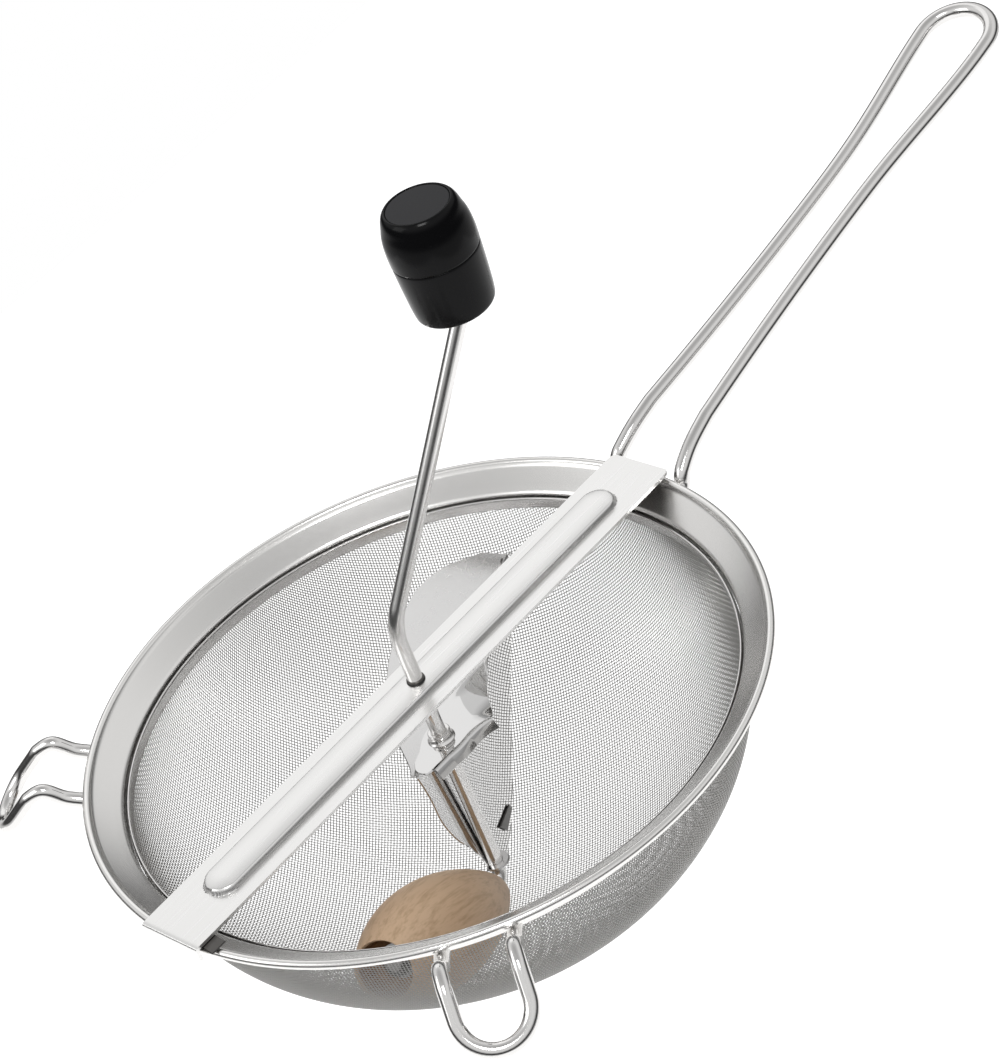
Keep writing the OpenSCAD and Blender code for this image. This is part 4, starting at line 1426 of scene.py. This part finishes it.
@dataclass
class Knob(SubAssembly):
    """Turning knob on the spindle.

    Attributes:
        radius: Largest radius.
        height: Height.
        seam: Height of the seam between sleeve and grip.
        disc_r: Radius of the inlaid disc.
        base: Height of its lower end.
        bore: Radius of its bore.
    """

    radius: float = 14.8
    height: float = 39.1
    seam: float = 21.1
    disc_r: float = 10.5
    base: float = 122.52
    bore: float = 2.75

    def build(self, rotor: Rotor) -> None:
        """Sleeve, grip and disc."""
        origin = direction(rotor.arm_turn) * rotor.crank_r + [0, 0, self.base]
        axes = np.eye(3)
        r, top = self.radius, self.height
        side = spline(np.array([[r - 2.0, 0.35], [r - 1.55, 1.3], [r - 1.15, 4.5], [r - 0.85, 8.5],
                                [r - 0.45, 15], [r - 0.22, self.seam - 0.6],
                                [r - 0.5, self.seam - 0.05]]), 6)
        sleeve = np.vstack([[[self.bore, 0], [r - 3.4, 0], [r - 2.6, 0.08]], side,
                            [[self.bore, self.seam - 0.05]]])
        self.put("knob_lower_sleeve", lathe(sleeve, 128).moved(axes, origin), Look.KNOB,
                 Body.KNOB, Slot.KNOB, ("knob_sleeve",), 50)
        base = self.seam + 0.05
        share = np.array([[0.1, 0.03], [0.0, 0.25], [0.2, 0.45], [0.65, 0.6], [1.35, 0.74],
                          [1.95, 0.86], [2.6, 0.94], [3.3, 0.985]])
        crown = spline(np.stack([r - share[:, 0], mix(base, top, share[:, 1])], -1), 8)
        pocket = top - 8.6
        grip = np.vstack([[[self.bore, base], [r - 0.45, base]], crown,
                          [[self.disc_r + 0.5, top], [self.disc_r + 0.2, top - 0.06],
                           [self.disc_r + 0.02, top - 0.3], [self.disc_r + 0.02, top - 1.2],
                           [5.85, top - 1.2], [5.85, pocket], [self.bore, pocket]]])
        self.put("knob_upper_grip", lathe(grip, 128).moved(axes, origin), Look.KNOB,
                 Body.KNOB, Slot.KNOB, ("knob_grip",), 50)
        d = self.disc_r - 0.05
        disc = rounded([[0, top - 1.14], [d, top - 1.14], [d, top - 0.22], [0, top - 0.2]],
                       [0, 0.1, 0.25, 0], 5, False)
        self.put("knob_inlaid_disc", lathe(disc, 96, False).moved(axes, origin), Look.DISC,
                 Body.KNOB, Slot.DISC, ("knob_disc",), 50)


# ---------------------------------------------------------------- studio


def placed(right: Array, up: Array, back: Array, place: Array) -> Matrix:
    """Matrix of an object at a place, with its axes along three unit vectors."""
    matrix = np.eye(4)
    matrix[:3] = np.stack([right, up, back, place], -1)
    return Matrix(matrix.tolist())


@dataclass
class Studio:
    """Camera, floor, lamps and sky.

    Attributes:
        turn: Direction of the camera, in degrees.
        rise: Its elevation, in degrees.
        roll: Its roll, in degrees.
        distance: Distance of the origin along the camera's axis, in millimetres.
        focal: Focal length, in pixels of the full image.
        centre: Place of the origin in the full image, in pixels.
        size: Full image, in pixels.
        sensor: Size of the sensor along the image's longer side, in millimetres.
    """

    turn: float = -35.188
    rise: float = 36.263
    roll: float = -22.065
    distance: float = 1102.65
    focal: float = 3341.163
    centre: tuple[float, float] = (422.424, 694.429)
    size: tuple[float, float] = (1000.0, 1059.0)
    sensor: float = 36.0

    def axes(self) -> tuple[Array, Array, Array]:
        """Right, up and backward vectors of the camera."""
        a, e, r = (math.radians(v) for v in (self.turn, self.rise, self.roll))
        back = np.array([math.sin(a) * math.cos(e), -math.cos(a) * math.cos(e), math.sin(e)])
        right = np.array([math.cos(a), math.sin(a), 0])
        up = np.cross(back, right)
        return (right * math.cos(r) + up * math.sin(r), -right * math.sin(r) + up * math.cos(r), back)

    def camera(self) -> None:
        """Camera at its angle, with the origin at its place in the image."""
        right, up, back = self.axes()
        dx = (self.centre[0] - self.size[0] / 2) * self.distance / self.focal
        dy = (self.centre[1] - self.size[1] / 2) * self.distance / self.focal
        place = (back * self.distance - right * dx + up * dy) * MM
        data = bpy.data.cameras.new("camera")
        data.sensor_width = self.sensor
        data.lens = self.focal * self.sensor / self.size[1]
        data.clip_end = 20.0
        camera = bpy.data.objects.new("camera", data)
        bpy.context.scene.collection.objects.link(camera)
        camera.matrix_world = placed(right, up, back, place)
        bpy.context.scene.camera = camera

    def floor(self) -> None:
        """Pale floor well below the bowl; seen directly it is white, with its shadow kept."""
        mesh = bpy.data.meshes.new("floor")
        s, z = 1.0, -0.42
        mesh.from_pydata([(-s, -s, z), (s, -s, z), (s, s, z), (-s, s, z)], [], [(0, 1, 2, 3)])
        floor = bpy.data.objects.new("floor", mesh)
        bpy.context.scene.collection.objects.link(floor)
        material = bpy.data.materials.new("floor")
        material.use_nodes = True
        tree, main = material.node_tree, shader(material)
        main.inputs["Base Color"].default_value = (0.8, 0.8, 0.8, 1)
        main.inputs["Roughness"].default_value = 0.9
        main.inputs["Emission Color"].default_value = (1, 1, 1, 1)
        path = tree.nodes.new("ShaderNodeLightPath")
        seen = tree.nodes.new("ShaderNodeMath")
        seen.operation = "MAXIMUM"
        glow = tree.nodes.new("ShaderNodeMath")
        glow.operation = "MULTIPLY"
        glow.inputs[1].default_value = 0.6
        tree.links.new(path.outputs["Is Camera Ray"], seen.inputs[0])
        tree.links.new(path.outputs["Is Glossy Ray"], seen.inputs[1])
        tree.links.new(seen.outputs["Value"], glow.inputs[0])
        tree.links.new(glow.outputs["Value"], main.inputs["Emission Strength"])
        mesh.materials.append(material)

    def sky(self) -> None:
        """White seen directly; a pale dome with a darker horizon for light and reflections."""
        world = bpy.data.worlds.new("studio")
        bpy.context.scene.world = world
        world.use_nodes = True
        tree = world.node_tree
        tree.nodes.clear()
        place = tree.nodes.new("ShaderNodeTexCoord")
        split = tree.nodes.new("ShaderNodeSeparateXYZ")
        ramp = tree.nodes.new("ShaderNodeValToRGB")
        ramp.color_ramp.elements[0].position = 0.0
        ramp.color_ramp.elements[0].color = (0.9, 0.9, 0.9, 1)
        ramp.color_ramp.elements[1].position = 1.0
        ramp.color_ramp.elements[1].color = (0.55, 0.55, 0.55, 1)
        for at, level in ((0.37, 0.8), (0.43, 0.06), (0.56, 0.06), (0.63, 0.55), (0.71, 0.97),
                          (0.86, 1.0), (0.95, 0.7)):
            stop = ramp.color_ramp.elements.new(at)
            stop.color = (level, level, level, 1)
        dome = tree.nodes.new("ShaderNodeBackground")
        white = tree.nodes.new("ShaderNodeBackground")
        path = tree.nodes.new("ShaderNodeLightPath")
        blend = tree.nodes.new("ShaderNodeMixShader")
        out = tree.nodes.new("ShaderNodeOutputWorld")
        dome.inputs["Strength"].default_value = 0.85
        white.inputs["Color"].default_value = (1, 1, 1, 1)
        tree.links.new(place.outputs["Generated"], split.inputs["Vector"])
        height = tree.nodes.new("ShaderNodeMapRange")
        height.inputs["From Min"].default_value = -1.0
        tree.links.new(split.outputs["Z"], height.inputs["Value"])
        tree.links.new(height.outputs["Result"], ramp.inputs["Fac"])
        tree.links.new(ramp.outputs["Color"], dome.inputs["Color"])
        tree.links.new(path.outputs["Is Camera Ray"], blend.inputs["Fac"])
        tree.links.new(dome.outputs["Background"], blend.inputs[1])
        tree.links.new(white.outputs["Background"], blend.inputs[2])
        tree.links.new(blend.outputs["Shader"], out.inputs["Surface"])

    def lamps(self) -> None:
        """Three soft boxes: direction, elevation, distance and size in metres, power."""
        boxes = (("key", -132.0, 62.0, 1.3, 0.34, 4.5), ("fill", 58.0, 34.0, 1.5, 0.9, 0.8),
                 ("back", 150.0, 35.0, 1.5, 0.8, 3.0))
        for name, azimuth, rise, far, size, power in boxes:
            back = direction(azimuth, rise)
            data = bpy.data.lights.new(name, "AREA")
            data.shape, data.size, data.energy = "SQUARE", size, power
            lamp = bpy.data.objects.new(name, data)
            bpy.context.scene.collection.objects.link(lamp)
            right = unit(np.cross([0, 0, 1], back))
            lamp.matrix_world = placed(right, np.cross(back, right), back, far * back)

    def build(self) -> None:
        """Sets up the whole studio."""
        bpy.context.scene.view_settings.view_transform = "Standard"
        self.camera()
        self.floor()
        self.sky()
        self.lamps()


def main() -> None:
    """Builds the food mill in order and reports each piece."""
    logging.basicConfig(level=logging.INFO, format="%(name)s: %(message)s")
    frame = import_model()
    axle = Axle()
    shop = Shop(axle.onto_z())
    Strainer(shop).build()
    Insert(shop).build(frame)
    rotor = Rotor(shop, axle=axle)
    rotor.build(frame)
    Roller(shop).build(axle)
    Knob(shop).build(rotor)
    Studio().build()
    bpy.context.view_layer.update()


if __name__ == "__main__":
    main()
